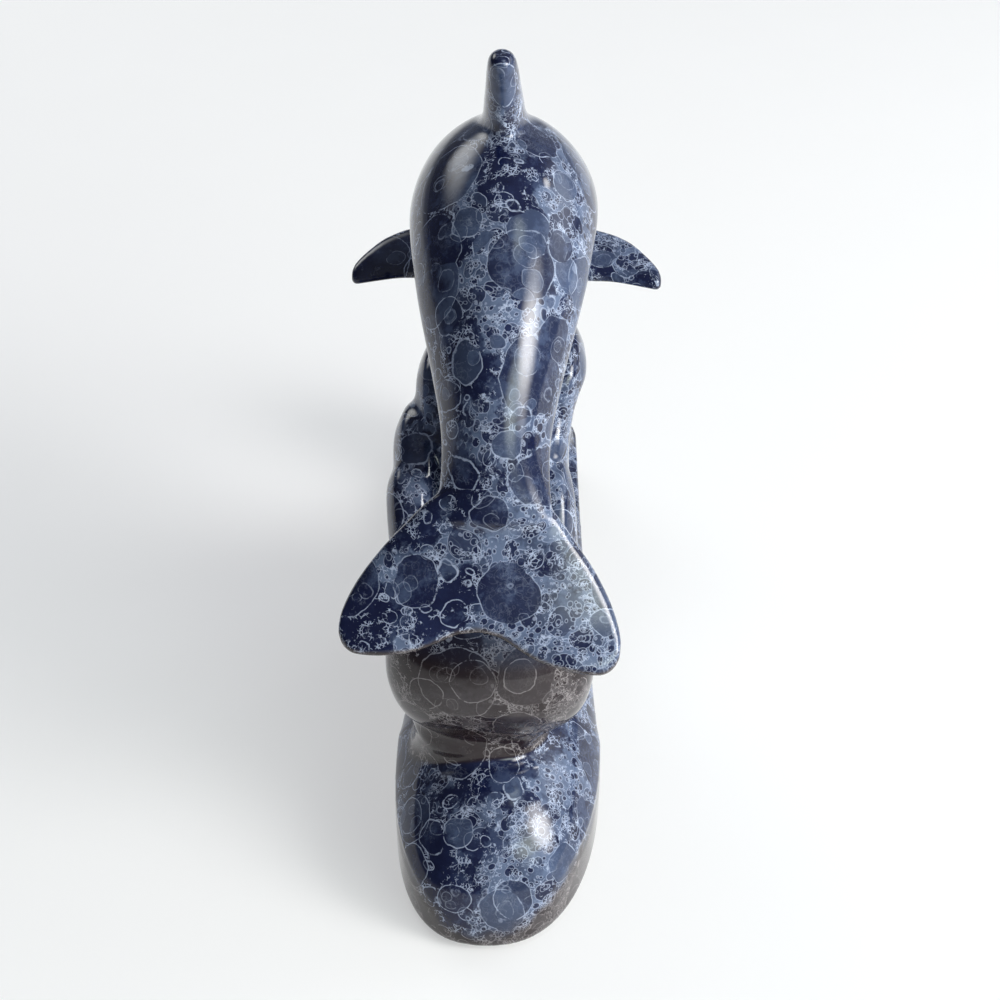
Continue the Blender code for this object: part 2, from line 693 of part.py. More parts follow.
def build_cup(material):
    """A turned profile that runs down the outside and up the bore."""
    outer = SOCKET_RADIUS + CUP_WALL
    floor = CUP_RIM_HEIGHT - SOCKET_DEPTH
    foot = BASE_SHOULDER_HEIGHT - CLAY_WALL
    profile = [
        (0, foot),
        (CUP_FOOT_RADIUS, foot),
        (CUP_FOOT_RADIUS, BASE_NOSE_HEIGHT),
        ((CUP_FOOT_RADIUS + outer) / 2 - CUP_LIP, BASE_NOSE_HEIGHT + CUP_LIP * 2),
        (outer - CUP_LIP, (BASE_NOSE_HEIGHT + CUP_RIM_HEIGHT) / 2),
        (outer, CUP_RIM_HEIGHT - 3 * CUP_LIP),
        (outer, CUP_RIM_HEIGHT - CUP_LIP),
        (outer - CUP_LIP, CUP_RIM_HEIGHT),
        (SOCKET_RADIUS + CUP_LIP, CUP_RIM_HEIGHT),
        (SOCKET_RADIUS, CUP_RIM_HEIGHT - CUP_LIP),
        (SOCKET_RADIUS, floor),
        (0, floor),
    ]
    bm = bmesh.new()
    points = [bm.verts.new((radius, 0, height)) for radius, height in profile[::-1]]
    for low, high in zip(points, points[1:]):
        bm.edges.new((low, high))
    cup = as_object("candle_cup", bm, material)
    cup.location.y = CUP_CENTRE_Y
    turn = cup.modifiers.new("turn", "SCREW")
    turn.steps = CUP_SIDES
    turn.render_steps = CUP_SIDES
    turn.use_merge_vertices = True
    turn.merge_threshold = 0.00001
    return cup


def build():
    clear_scene()
    glaze = finish("glazed_clay", (0.03, 0.05, 0.16), 0.12)
    base_seat = build_base(glaze)
    build_felt(finish("felt", (0.02, 0.02, 0.03), 0.95))
    body_seat = build_body(glaze.copy())
    flukes = build_flukes(glaze.copy())
    flukes_seat = seat_of(flukes)
    fins = [
        build_dorsal_fin(glaze.copy()),
        build_pectoral_fin("pectoral_fin_left", -1, glaze.copy()),
        build_pectoral_fin("pectoral_fin_right", 1, glaze.copy()),
    ]
    for fin in [flukes, *fins]:
        cut(fin, [body_seat])
    column_seat = build_column(glaze.copy(), [base_seat, body_seat])
    seats = [base_seat, body_seat, flukes_seat, column_seat]
    for name, rows in CRESTS.items():
        seats.append(build_crest(name, rows, glaze.copy(), seats))
    build_swell(glaze.copy(), seats)
    cut(build_cup(glaze.copy()), [base_seat])


build()
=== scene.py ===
"""The looks of the dolphin candle holder: one glazed figure, drawn finely around the castings.

Metres, +Z up, in the castings' own frame. The stations below are those of the castings. Here they are lofted
finely, melted together where they touch and covered with a bubble glaze.
"""

import math

import bmesh
import bpy
import numpy as np
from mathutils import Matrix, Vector, noise
from mathutils.bvhtree import BVHTree


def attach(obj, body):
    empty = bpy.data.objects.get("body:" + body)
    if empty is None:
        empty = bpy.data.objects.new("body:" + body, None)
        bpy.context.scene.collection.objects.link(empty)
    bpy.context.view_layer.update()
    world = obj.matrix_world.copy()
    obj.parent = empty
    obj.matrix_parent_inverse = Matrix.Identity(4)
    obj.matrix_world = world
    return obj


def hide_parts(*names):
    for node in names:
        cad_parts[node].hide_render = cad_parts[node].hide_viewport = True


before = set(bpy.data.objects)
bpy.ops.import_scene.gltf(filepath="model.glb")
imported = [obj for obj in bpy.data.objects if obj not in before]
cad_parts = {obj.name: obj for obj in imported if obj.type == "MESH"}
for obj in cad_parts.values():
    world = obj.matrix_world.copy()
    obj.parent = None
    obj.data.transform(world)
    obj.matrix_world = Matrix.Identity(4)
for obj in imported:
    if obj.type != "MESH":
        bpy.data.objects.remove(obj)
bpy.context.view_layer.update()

# Camera: azimuth, elevation and distance of the photograph, fitted to its outline
CAMERA_AZIMUTH = math.radians(2.0)
CAMERA_ELEVATION = math.radians(40.0)
CAMERA_DISTANCE = 0.4185
CAMERA_TARGET = Vector((-0.00015, -0.022, 0.074))
FOCAL_IN_PIXELS = 1842.0
IMAGE_SIZE = 1000.0
SENSOR_WIDTH = 36.0

# How finely the lofts are drawn
FINE_STEPS = 8
FINE_SIDES = 72
FLUKE_FINE_SIDES = 64
TIP_RINGS = 8
PLAN_POINTS = 120
DOME_RINGS = 24
RING_STEPS = 12

# Sections: how square their shoulders are, and the flutes along the crests
OVAL_BLUNTNESS = 0.9
WAVE_BLUNTNESS = 0.85
CREST_FLUTES = 6
CREST_FLUTE_DEPTH = 0.05

# The skin: how it is melted, how the glaze pools in creases, and its low waves
VOXEL = 0.0006
EVEN_SHARE = 0.5
EVEN_ROUNDS = 5
POOL_SOFTNESS = 0.00002
POOL_STEP = 0.6
FIN_POOLING = 40
WAVE_POOLING = 30
FOOT_FILLET = 0.0025
SEAM_SINK = 0.0012
SHARP_ANGLE = math.radians(60)
WOBBLE_HEIGHT = 0.00008
WOBBLE_SIZE = 0.009

# Painted reflection of a brown table on the base's side wall, the swell and the flukes' trailing edge: its
# edge, its ripple, and which ways the reflecting skin faces
TABLE_REFLECTION = "painted_table_reflection"
REFLECTION_EDGE = 0.0012
REFLECTION_RIPPLE = 0.004
REFLECTION_FADE = 3
SWELL_STEEP = (0.72, 0.42)
SWELL_BEHIND = (0.15, -0.15)
FLUKE_RIM = (0.30, 0.0)

# Where the dark glaze has pooled
POOLED = "pooled"

# Face: stations along the body, and heights from belly (-1) to back (1)
MOUTH = [(17.6, -0.15), (16.8, -0.2), (16.0, -0.25), (15.2, -0.3), (14.6, -0.25), (14.0, -0.1)]
MOUTH_WIDTH = 0.0009
MOUTH_DEPTH = 0.0016
MOUTH_POOL = 0.0014
EYE = (12.9, 0.05)
EYE_RADIUS = 0.0019
EYE_DEPTH = 0.0010
EYE_BULGE = 0.0009
EYE_POOL = 0.0030
EYE_SOCKET_RADIUS = 1.25
EYE_SOCKET_WIDTH = 0.4
EYE_BALL_WIDTH = 0.8
EYE_STEP = Vector((0, 0.0001, 0))
BLOWHOLE = (11.5, 1.0)
BLOWHOLE_WIDTH = 0.004
BLOWHOLE_DROOP = 0.25
BLOWHOLE_LINE = 0.15

# Sizes of the castings
GRID_SPACING = 0.001
JOINT_GAP = 0.0003
FELT_THICKNESS = 0.001
FELT_INSET = 0.003
FELT_PROFILE = [(0.0, 0.0), (-0.0001, 0.4), (0.0001, 1.0)]
BASE_LENGTH = 0.183
BASE_HALF_WIDTH = 0.0242
BASE_TAIL_LENGTH = 0.0485
BASE_TAIL_BLUNTNESS = 2.45
BASE_NOSE_HALF_WIDTH = 0.0182
BASE_TAPER = 0.65
BASE_SWAY = 0.0004
BASE_TAIL_SWAY = -0.0014
BASE_SHOULDER_HEIGHT = 0.0170
BASE_TAIL_DROP = 0.0105
BASE_DROP_SHARPNESS = 8
BASE_CROWN_HEIGHT = 0.0345
BASE_NOSE_HEIGHT = 0.0215
BASE_FOOT_BEVEL = 0.0009
BASE_CLIMB_LENGTH = 0.030
BASE_CLIMB_FULLNESS = 0.85
BASE_DOME_FULLNESS = 0.72
BASE_FOOT_PROFILE = [(1, 0), (0.3, 0.5), (0, 1.6)]
BASE_WALL_PROFILE = [(0, 0.75), (0.3, 1)]
SOCKET_RADIUS = 0.0112
SOCKET_DEPTH = 0.024
CUP_WALL = 0.0050
CUP_LIP = 0.0015
CUP_RIM_HEIGHT = 0.048
CUP_FOOT_RADIUS = 0.0168
CUP_SETBACK = 0.020
CUP_FLARE = 0.15
SWELL_HALF_WIDTH = 0.0232
SWELL_BULGE_HEIGHT = 0.053
COLUMN_HALF_WIDTH = 0.0120
CREST_RADIUS = 0.0058
CREST_DEPTH = 1.1
CREST_FLATNESS = 1.1
CREST_TAPER = 1.5
BODY_HALF_WIDTH = 0.0200
BACK_RIDGE = 0.13
DORSAL_FIN_Y = 0.0055
DORSAL_FIN_SINK = 0.0024
DORSAL_FIN_HEIGHT = 0.0192
DORSAL_FIN_CHORD = 0.027
DORSAL_FIN_THICKNESS = 0.0095
DORSAL_FIN_LEAN = -0.0003
DORSAL_FIN_SLOPE = 0.42
PECTORAL_REACH = 0.0355
PECTORAL_CHORD = 0.0140
PECTORAL_THICKNESS = 0.0062
PECTORAL_ROOT_FULLNESS = 1.5
PECTORAL_THINNING = 0.9
PECTORAL_TIP_THINNING = 3
PECTORAL_TILT = math.radians(18)
FLUKE_HALF_SPAN = 0.0291
FLUKE_CHORD = 0.034
FLUKE_THICKNESS = 0.0062
FLUKE_TIP_THINNING = 0.37
FLUKE_DROOP = 0.0035
FLUKE_DROOP_LATENESS = 1.5
FLUKE_BLUNTNESS = 0.7
FLUKE_TURN = math.radians(4)
TAIL_SLOPE = math.radians(66)
TAIL_FLICK = math.radians(38)
TAIL_FLICK_LATENESS = 1.6
TAIL_CURVE_STEPS = 24
TAIL_ROOT = (-0.6, -60.0, 104.3)

# The body from tail to beak: back y and z, belly y and z, and half-width as a share of the widest
BODY_STATIONS = [
    (-65.0, 103.2, -57.4, 99.9, 0.610),
    (-63.3, 107.2, -53.5, 102.0, 0.578),
    (-60.3, 113.4, -46.5, 104.8, 0.550),
    (-55.8, 121.5, -38.6, 108.6, 0.575),
    (-48.5, 131.6, -30.0, 113.2, 0.680),
    (-38.0, 142.0, -22.0, 117.0, 0.810),
    (-24.0, 152.2, -13.0, 119.0, 0.930),
    (-7.4, 158.0, -3.5, 118.6, 0.995),
    (9.5, 155.2, 5.0, 115.5, 1.000),
    (23.8, 145.8, 10.2, 110.0, 0.970),
    (34.5, 132.5, 13.0, 102.5, 0.910),
    (41.5, 118.0, 15.8, 95.5, 0.820),
    (45.3, 105.0, 20.5, 89.0, 0.710),
    (46.6, 96.0, 25.0, 84.2, 0.610),
    (46.0, 88.5, 29.0, 80.8, 0.470),
    (43.6, 84.0, 31.5, 78.6, 0.310),
    (42.9, 78.5, 33.8, 74.5, 0.265),
    (41.8, 72.5, 35.2, 69.5, 0.215),
    (40.0, 69.5, 37.4, 68.2, 0.090),
]

# The flukes at shares of the half-span: how far down the tail curve they start and end, in chords
FLUKE_PLAN = [
    (0.00, -0.10, 0.770),
    (0.15, -0.10, 0.795),
    (0.32, -0.07, 0.870),
    (0.45, 0.02, 0.915),
    (0.60, 0.18, 0.940),
    (0.75, 0.34, 0.950),
    (0.88, 0.51, 0.940),
    (0.955, 0.64, 0.895),
    (0.99, 0.74, 0.835),
]

# The dorsal fin from inside the back to its tip, as shares: rise, sweep back, chord and thickness
DORSAL_FIN_ROWS = [
    (-0.35, 0.02, 1.02, 1.00),
    (-0.05, 0.00, 1.00, 1.05),
    (0.30, -0.10, 0.80, 0.92),
    (0.65, -0.23, 0.58, 0.79),
    (0.95, -0.35, 0.40, 0.68),
    (1.12, -0.43, 0.29, 0.56),
    (1.20, -0.47, 0.15, 0.32),
]

# A pectoral fin from inside the flank to its tip: the middle's y and z, and reach and chord as shares
PECTORAL_ROWS = [
    (22.0, 113.7, 0.36, 1.20),
    (21.0, 112.7, 0.53, 1.05),
    (20.2, 112.3, 0.68, 0.95),
    (18.4, 111.8, 0.81, 0.82),
    (16.0, 111.0, 0.92, 0.58),
    (14.6, 110.4, 0.975, 0.40),
    (14.0, 110.1, 1.00, 0.18),
]

# The middle of the wave: height, rear y, front y, middle x, and half-width as a share
COLUMN_ROWS = [
    (14.0, -47.0, 42.0, 0.0, 1.45),
    (26.0, -45.0, 33.0, 0.0, 1.20),
    (45.0, -43.0, 21.0, 0.0, 1.02),
    (70.0, -41.0, 13.0, 0.0, 0.98),
    (90.0, -38.0, 11.0, 0.0, 0.98),
    (105.0, -34.0, 12.0, 0.0, 0.95),
    (118.0, -27.0, 12.0, 0.0, 0.80),
    (127.0, -20.0, 9.0, 0.0, 0.60),
]

# The swell behind the wave: height over its widest line, rear y, front y, middle x, and half-width as a share
SWELL_ROWS = [
    (-34.0, -65.7, -36.0, -1.4, 0.87),
    (-26.5, -64.6, -36.0, -0.8, 0.80),
    (-20.5, -64.8, -36.0, -3.5, 0.66),
    (-17.2, -65.2, -36.0, -3.6, 0.67),
    (-14.6, -64.3, -36.0, -2.5, 0.77),
    (-12.6, -64.1, -36.0, -1.4, 0.885),
    (-10.4, -65.2, -36.0, -1.3, 0.93),
    (-6.0, -66.9, -36.0, -1.3, 0.975),
    (0.0, -68.0, -36.0, -1.3, 1.00),
    (8.0, -67.0, -36.0, -1.3, 0.97),
    (15.0, -63.0, -36.0, -1.3, 0.86),
    (21.0, -58.0, -36.0, -1.3, 0.68),
    (26.0, -53.0, -36.0, -1.3, 0.45),
    (28.0, -48.0, -37.0, -1.3, 0.20),
]

# Each crest from its foot to its curled tip: x, y and z of the middle, and thickness as a share
CRESTS = {
    "wave_crest_left_high": [
        (-12.5, -24.0, 34.0, 0.90),
        (-13.0, -28.0, 62.0, 0.90),
        (-13.4, -23.0, 86.0, 0.92),
        (-13.6, -11.0, 99.4, 1.00),
        (-12.8, 3.0, 96.0, 0.92),
        (-12.5, 9.0, 86.0, 0.60),
    ],
    "wave_crest_left_middle": [
        (-16.0, -31.0, 32.0, 1.05),
        (-17.2, -36.0, 56.0, 1.05),
        (-17.7, -31.0, 77.0, 1.00),
        (-18.1, -19.0, 90.2, 1.02),
        (-16.5, -6.0, 84.0, 0.85),
        (-15.5, -2.0, 75.0, 0.55),
    ],
    "wave_crest_left_low": [
        (-15.7, -38.0, 31.0, 1.05),
        (-17.8, -44.0, 52.0, 1.08),
        (-18.5, -41.0, 69.0, 0.94),
        (-19.5, -30.0, 82.8, 0.98),
        (-19.2, -19.0, 78.5, 0.80),
        (-19.0, -15.0, 71.5, 0.55),
    ],
    "wave_crest_right_high": [
        (11.5, -24.0, 34.0, 0.95),
        (11.2, -28.0, 64.0, 0.83),
        (10.8, -23.0, 87.0, 0.76),
        (11.3, -17.0, 95.0, 0.80),
        (12.9, -10.5, 103.2, 0.98),
        (12.6, 4.0, 100.0, 0.90),
        (12.2, 10.0, 90.0, 0.60),
    ],
    "wave_crest_right_low": [
        (14.0, -34.0, 30.0, 1.15),
        (13.0, -41.0, 50.0, 1.15),
        (12.0, -41.0, 68.0, 1.04),
        (11.2, -32.0, 82.5, 0.97),
        (11.0, -24.0, 85.0, 0.75),
    ],
}

# Colours of the glaze, linear: where it is blue, and where a painted reflection of a brown table turns it
# brown
NAVY_DEEP = (0.0034, 0.0058, 0.029, 1)
NAVY_LIGHT = (0.010, 0.016, 0.056, 1)
MILK = (0.090, 0.125, 0.210, 1)
PALE = (0.42, 0.48, 0.62, 1)
REFLECTED_BROWN_NAVY = (0.020, 0.011, 0.008, 1)
REFLECTED_BROWN_MILK = (0.058, 0.042, 0.032, 1)
REFLECTED_BROWN_PALE = (0.26, 0.22, 0.20, 1)
REFLECTED_BROWN_SHARE = 0.85
POOLED_SHARE = 0.95
GLAZE_ROUGHNESS = 0.07
GLAZE_IOR = 1.45
GLAZE_BUMP = 0.05
GLAZE_BUMP_HEIGHT = 0.0001

# The unit of the glaze's pattern
MILLIMETRE = 0.001

# The waves that bend the pattern as it ran: size, detail and roughness, and how far each bends it
DRIFT_NOISE = (9.0, 1.0, 0.5)
DRIFT_REACH = 3.5
RIPPLE_NOISE = (2.6, 2.0, 0.5)
RIPPLE_REACH = 0.9
RAGGED_NOISE = (1.0, 3.0, 0.6)
RAGGED_REACH = 0.24

# Other noises of the glaze: size, detail, roughness and shift
BROKEN_NOISE = (2.6, 5.0, 0.75, (1, 9, 4))
CLOUD_NOISE = (7.0, 6.0, 0.72, (2, 2, 8))
PATCH_NOISE = (15.0, 6.0, 0.60, (7, 3, 1))
SPECK_NOISE = (4.0, 5.0, 0.7, (4, 60, 4))

# Where each layer takes hold: from and to, and for some the two values that it runs between
BROKEN_EDGE = (0.38, 0.52)
SPECK_EDGE = (0.52, 0.58)
FOAM_EDGE = (0.475, 0.525)
CLEAR_EDGE = (0.36, 0.46)
NAVY_EDGE = (0.35, 0.75)
HAZE_EDGE = (0.50, 0.60)
HAZE_SHARE = 0.28
FROTH_EDGE = (0.36, 0.60, 0.30, 0.85)
FROTH_PALENESS = 0.08

# More foam towards +X, less towards -X: from and to across the figure, and the two values
FOAM_LEAN = (-16.0, 12.0, -0.075, 0.04)

# Bubbles that burst: size, rim, smallest and largest radius, how many, shift, and how milky and bright
LARGE_BUBBLE = 9.0
BUBBLE_SCATTER = 0.75
BUBBLES = [
    (18.0, 0.16, 0.30, 0.52, 0.90, (0, 0, 0), 0.36, 0.60),
    (11.0, 0.16, 0.28, 0.50, 0.80, (31, 5, 9), 0.38, 0.70),
    (7.0, 0.14, 0.24, 0.48, 0.70, (3, 47, 2), 0.36, 0.70),
    (4.3, 0.13, 0.22, 0.46, 0.60, (13, 8, 71), 0.34, 0.70),
]
BUBBLE_TONES = (0.2, 0.9, 0.0)
RIM_CORE = 0.3
DISC_EDGE = 0.01
SMALL_RIM_LOSS = 0.6
FOAM_LOSS = 0.9

# Dark round holes in the foam: size, smallest and largest radius, how many, and shift
HOLES = [
    (6.6, 0.30, 0.50, 0.80, (61, 7, 13)),
    (3.9, 0.30, 0.50, 0.85, (5, 77, 31)),
    (2.0, 0.28, 0.48, 0.85, (9, 21, 3)),
    (1.0, 0.26, 0.44, 0.45, (9, 2, 33)),
]
HOLE_RIM = 0.12
HOLE_TONES = (0.0, 0.6, 0.45, 0.95)
HOLE_RIM_SHARE = 0.42

# Lace: size, width of its walls, brightness and shift
COARSE_LACE = (1.9, 0.10, 0.65, (8, 2, 5))
FINE_LACE = (0.9, 0.09, 0.80, (2, 9, 1))
LACE_CORE = 0.25
RIM_HEIGHT = 0.5
LACE_HEIGHT = 0.4

# Felt
FELT_DARK = (0.012, 0.014, 0.022, 1)
FELT_LIGHT = (0.040, 0.045, 0.060, 1)
FELT_FUZZ = (0.35, 4.0, 0.7)
FELT_ROUGHNESS = 0.95
FELT_SHEEN = 0.4
FELT_BUMP = 0.6
FELT_BUMP_HEIGHT = 0.0003

# Floor, and its glow near the figure
FLOOR_SIZE = 3.0
FLOOR_DULL = (0.88, 0.88, 0.87, 1)
FLOOR_BRIGHT = (0.90, 0.90, 0.895, 1)
FLOOR_GRAIN = (40.0, 2.0)
FLOOR_ROUGHNESS = 0.8
FLOOR_SHINE = 0.1
GLOW_START = 0.42
GLOW_END = 0.9
GLOW_SHARE = 0.42

# Room light: brighter on the right than on the left
ROOM_COLOUR = (0.80, 0.86, 1.0, 1)
ROOM_STRENGTH = (-0.8, 0.5, 0.13, 0.40)

# Lamps seen from the figure: azimuth from +Y towards +X, elevation, width and height, radiance and colour
LAMP_DISTANCE = 1.0
LAMP_AIM = Vector((0, 0, 0.09))
LAMP_FADE = (0.5, 0.06, 0.0, 1.0)
LAMPS = {
    "window": (113, 27, (38, 45), 16.5, (1.0, 0.99, 0.97)),
    "garden": (139, 25, (46, 32), 5.0, (0.90, 1.0, 0.90)),
    "side": (68, 21, (60, 48), 2.0, (0.86, 0.92, 1.0)),
    "pane": (60, 37, (7, 10), 10.0, (1, 1, 1)),
    "far_room": (-42, 32, (52, 40), 3.6, (0.97, 0.98, 0.96)),
    "skylight": (111, 64, (24, 22), 2.8, (0.90, 1.0, 0.92)),
}


# Curves and lofts


def between(column, t):
    a, b, c, d = column
    return b + 0.5 * t * (c - a + t * (2 * a - 5 * b + 4 * c - d + t * (3 * (b - c) + d - a)))


def curve_through(rows, steps):
    """Catmull-Rom through rows of numbers, with this many steps from each row to the next."""
    padded = [rows[0], *rows, rows[-1]]
    made = []
    for i in range(len(rows) - 1):
        for k in range(steps):
            made.append(tuple(between(column, k / steps) for column in zip(*padded[i : i + 4])))
    made.append(tuple(rows[-1]))
    return made


def from_grid(rows, first, last):
    """Turns the columns from first to last, which are places on the grid, into metres."""
    return [tuple(v * GRID_SPACING if first <= i <= last else v for i, v in enumerate(row)) for row in rows]


def rounded(wave, power):
    """A sine or cosine raised to a power with its sign kept: under 1, a section's corners fill out."""
    return math.copysign(abs(wave) ** power, wave)


def oval(centre, across, up, sides, power=1.0, ridge=0.0, flutes=0, flute_depth=0.0):
    """A closed section on two half-axes; a power under 1 squares its shoulders, a ridge narrows its top."""
    points = []
    for k in range(sides):
        angle = math.tau * k / sides
        run = rounded(math.cos(angle), power)
        rise = rounded(math.sin(angle), power)
        dip = 1 - flute_depth * (0.5 - 0.5 * math.cos(flutes * angle))
        points.append(centre + (across * run * (1 - ridge * max(0, rise)) + up * rise) * dip)
    return points


def loft(rings):
    """A closed mesh through rings of equally many points, with a flat cap at each end."""
    bm = bmesh.new()
    rows = [[bm.verts.new(point) for point in ring] for ring in rings]
    sides = len(rows[0])
    for low, high in zip(rows, rows[1:]):
        for k in range(sides):
            after = (k + 1) % sides
            bm.faces.new((low[k], low[after], high[after], high[k]))
    bm.faces.new(rows[0][::-1])
    bm.faces.new(rows[-1])
    bmesh.ops.recalc_face_normals(bm, faces=bm.faces)
    mesh = bpy.data.meshes.new("loft")
    bm.to_mesh(mesh)
    bm.free()
    return mesh


# Shapes of the castings


def body_rows():
    return curve_through(from_grid(BODY_STATIONS, 0, 3), FINE_STEPS)


def body_ring(row):
    back_y, back_z, belly_y, belly_z, share = row
    back = Vector((0, back_y, back_z))
    belly = Vector((0, belly_y, belly_z))
    return (back + belly) / 2, Vector((BODY_HALF_WIDTH * share, 0, 0)), (back - belly) / 2


def body_loft():
    return loft([oval(*body_ring(row), FINE_SIDES, ridge=BACK_RIDGE) for row in body_rows()])


def on_body(station, height, side):
    """A point on the dolphin's skin: station along the body, height from belly (-1) to back (1), and side."""
    rows = body_rows()
    centre, across, up = body_ring(rows[round(station * FINE_STEPS)])
    reach = math.sqrt(max(0, 1 - height * height)) * (1 - BACK_RIDGE * max(0, height))
    return centre + across * side * reach + up * height


def tail_curve(distance):
    """The middle surface of the flukes, seen from the side: a steep run that flicks out at its end."""
    point = Vector(TAIL_ROOT) * GRID_SPACING
    slope = TAIL_SLOPE
    for k in range(TAIL_CURVE_STEPS):
        run = distance * (k + 0.5) / TAIL_CURVE_STEPS
        slope = TAIL_SLOPE - TAIL_FLICK * (max(0, run) / FLUKE_CHORD) ** TAIL_FLICK_LATENESS
        point += Vector((0, -math.cos(slope), -math.sin(slope))) * distance / TAIL_CURVE_STEPS
    return point, Vector((0, -math.sin(slope), math.cos(slope)))


def turned_about(point, pivot, angle):
    """Turns a point in the plane of the tail, so that one fluke hangs lower than the other."""
    down = Vector((0, -math.cos(TAIL_SLOPE), -math.sin(TAIL_SLOPE)))
    arm = point - pivot
    along = arm.dot(down)
    rest = arm - down * along - Vector((arm.x, 0, 0))
    x = arm.x * math.cos(angle) - along * math.sin(angle)
    run = along * math.cos(angle) + arm.x * math.sin(angle)
    return pivot + Vector((x, 0, 0)) + down * run + rest


def flukes_loft():
    half = curve_through(FLUKE_PLAN, FINE_STEPS)
    span = [(-share, start, end) for share, start, end in half[:0:-1]] + half
    pivot, _ = tail_curve(0)
    rings = []
    for share, start, end in span:
        thickness = FLUKE_THICKNESS / 2 * (1 - FLUKE_TIP_THINNING * abs(share))
        droop = FLUKE_DROOP * abs(share) ** FLUKE_DROOP_LATENESS
        middle = (start + end) / 2 * FLUKE_CHORD
        half_chord = (end - start) / 2 * FLUKE_CHORD
        ring = []
        for k in range(FLUKE_FINE_SIDES):
            angle = math.tau * k / FLUKE_FINE_SIDES
            run = middle + half_chord * rounded(math.cos(angle), FLUKE_BLUNTNESS)
            rise = thickness * rounded(math.sin(angle), FLUKE_BLUNTNESS) - droop
            on_curve, normal = tail_curve(run)
            ring.append(on_curve + normal * rise + Vector((share * FLUKE_HALF_SPAN, 0, 0)))
        rings.append([turned_about(point, pivot, FLUKE_TURN) for point in ring])
    return loft(rings)


def back_height(y):
    """The height of the dolphin's back over a place along the holder."""
    rows = from_grid(BODY_STATIONS, 0, 3)
    for (y0, z0, *_), (y1, z1, *_) in zip(rows, rows[1:]):
        if y0 <= y <= y1:
            return z0 + (z1 - z0) * (y - y0) / (y1 - y0)
    return rows[0][1]


def dorsal_fin_loft():
    rings = []
    root = back_height(DORSAL_FIN_Y) - DORSAL_FIN_SINK
    for rise, sweep, chord, thickness in curve_through(DORSAL_FIN_ROWS, FINE_STEPS):
        y = DORSAL_FIN_Y + sweep * DORSAL_FIN_CHORD
        centre = Vector((DORSAL_FIN_LEAN * max(0, rise), y, root + rise * DORSAL_FIN_HEIGHT))
        across = Vector((DORSAL_FIN_THICKNESS / 2 * thickness, 0, 0))
        along = Vector((0, 1, DORSAL_FIN_SLOPE * (rise - 1))) * (DORSAL_FIN_CHORD / 2 * chord)
        rings.append(oval(centre, across, along, FINE_SIDES))
    return loft(rings)


def pectoral_fin_loft(side):
    forward = Vector((0, math.cos(PECTORAL_TILT), math.sin(PECTORAL_TILT)))
    flat = Vector((0, -math.sin(PECTORAL_TILT), math.cos(PECTORAL_TILT)))
    rings = []
    for y, z, reach, chord in curve_through(from_grid(PECTORAL_ROWS, 0, 1), FINE_STEPS):
        centre = Vector((side * reach * PECTORAL_REACH, y, z))
        fullness = PECTORAL_ROOT_FULLNESS - PECTORAL_THINNING * reach
        thick = PECTORAL_THICKNESS / 2 * fullness * min(1, PECTORAL_TIP_THINNING * chord)
        length = forward * (PECTORAL_CHORD / 2 * chord)
        rings.append(oval(centre, length, flat * thick, FINE_SIDES, OVAL_BLUNTNESS))
    return loft(rings)


def upright_loft(rows, half_width, foot=0.0):
    """Level ovals from rows: height over the foot, rear y, front y, middle x, and half-width as a share."""
    rings = []
    for height, rear, front, x, share in curve_through(from_grid(rows, 0, 3), FINE_STEPS):
        centre = Vector((x, (rear + front) / 2, foot + height))
        across = Vector((half_width * share, 0, 0))
        along = Vector((0, (front - rear) / 2, 0))
        rings.append(oval(centre, across, along, FINE_SIDES, WAVE_BLUNTNESS))
    return loft(rings)


def crest_loft(rows):
    """A finger of water: fluted sections square to its own path, with a domed end where it curls over."""
    path = curve_through(from_grid(rows, 0, 2), FINE_STEPS)
    rings = []
    for number, (x, y, z, share) in enumerate(path):
        before = Vector(path[max(0, number - 1)][:3])
        after = Vector(path[min(len(path) - 1, number + 1)][:3])
        along = (after - before).normalized()
        up = along.cross(Vector((1, 0, 0))).normalized()
        across = up.cross(along)
        radius = CREST_RADIUS * share
        depth = radius * (CREST_FLATNESS + CREST_DEPTH * (1 - number / (len(path) - 1)) ** CREST_TAPER)
        centre = Vector((x, y, z)) + up * (depth - radius)
        rings.append(crest_ring(centre, across * radius, up * depth))
    for k in range(1, TIP_RINGS):
        angle = math.pi / 2 * k / TIP_RINGS
        narrow = math.cos(angle)
        ahead = centre + along * radius * math.sin(angle)
        rings.append(crest_ring(ahead, across * radius * narrow, up * depth * narrow))
    return loft(rings)


def crest_ring(centre, across, up):
    return oval(centre, across, up, FINE_SIDES, OVAL_BLUNTNESS, 0, CREST_FLUTES, CREST_FLUTE_DEPTH)


# Base


BASE_BOTTOM = FELT_THICKNESS + JOINT_GAP
BASE_TAIL_Y = -BASE_LENGTH / 2
BASE_WIDEST_Y = BASE_TAIL_Y + BASE_TAIL_LENGTH
BASE_NOSE_Y = BASE_LENGTH / 2 - BASE_NOSE_HALF_WIDTH
CUP_CENTRE_Y = BASE_LENGTH / 2 - CUP_SETBACK


def base_half_width(y):
    """An elliptical tail, a slow taper forward, and a round nose."""
    if y < BASE_WIDEST_Y:
        share = min(1, (BASE_WIDEST_Y - y) / BASE_TAIL_LENGTH)
        return BASE_HALF_WIDTH * (1 - share**BASE_TAIL_BLUNTNESS) ** (1 / BASE_TAIL_BLUNTNESS)
    if y < BASE_NOSE_Y:
        share = (y - BASE_WIDEST_Y) / (BASE_NOSE_Y - BASE_WIDEST_Y)
        return BASE_HALF_WIDTH + (BASE_NOSE_HALF_WIDTH - BASE_HALF_WIDTH) * share**BASE_TAPER
    share = (y - BASE_NOSE_Y) / BASE_NOSE_HALF_WIDTH
    return BASE_NOSE_HALF_WIDTH * math.sqrt(max(0, 1 - share * share))


def base_middle(y):
    share = max(0, BASE_WIDEST_Y - y) / BASE_TAIL_LENGTH
    return BASE_SWAY + (BASE_TAIL_SWAY - BASE_SWAY) * share * share


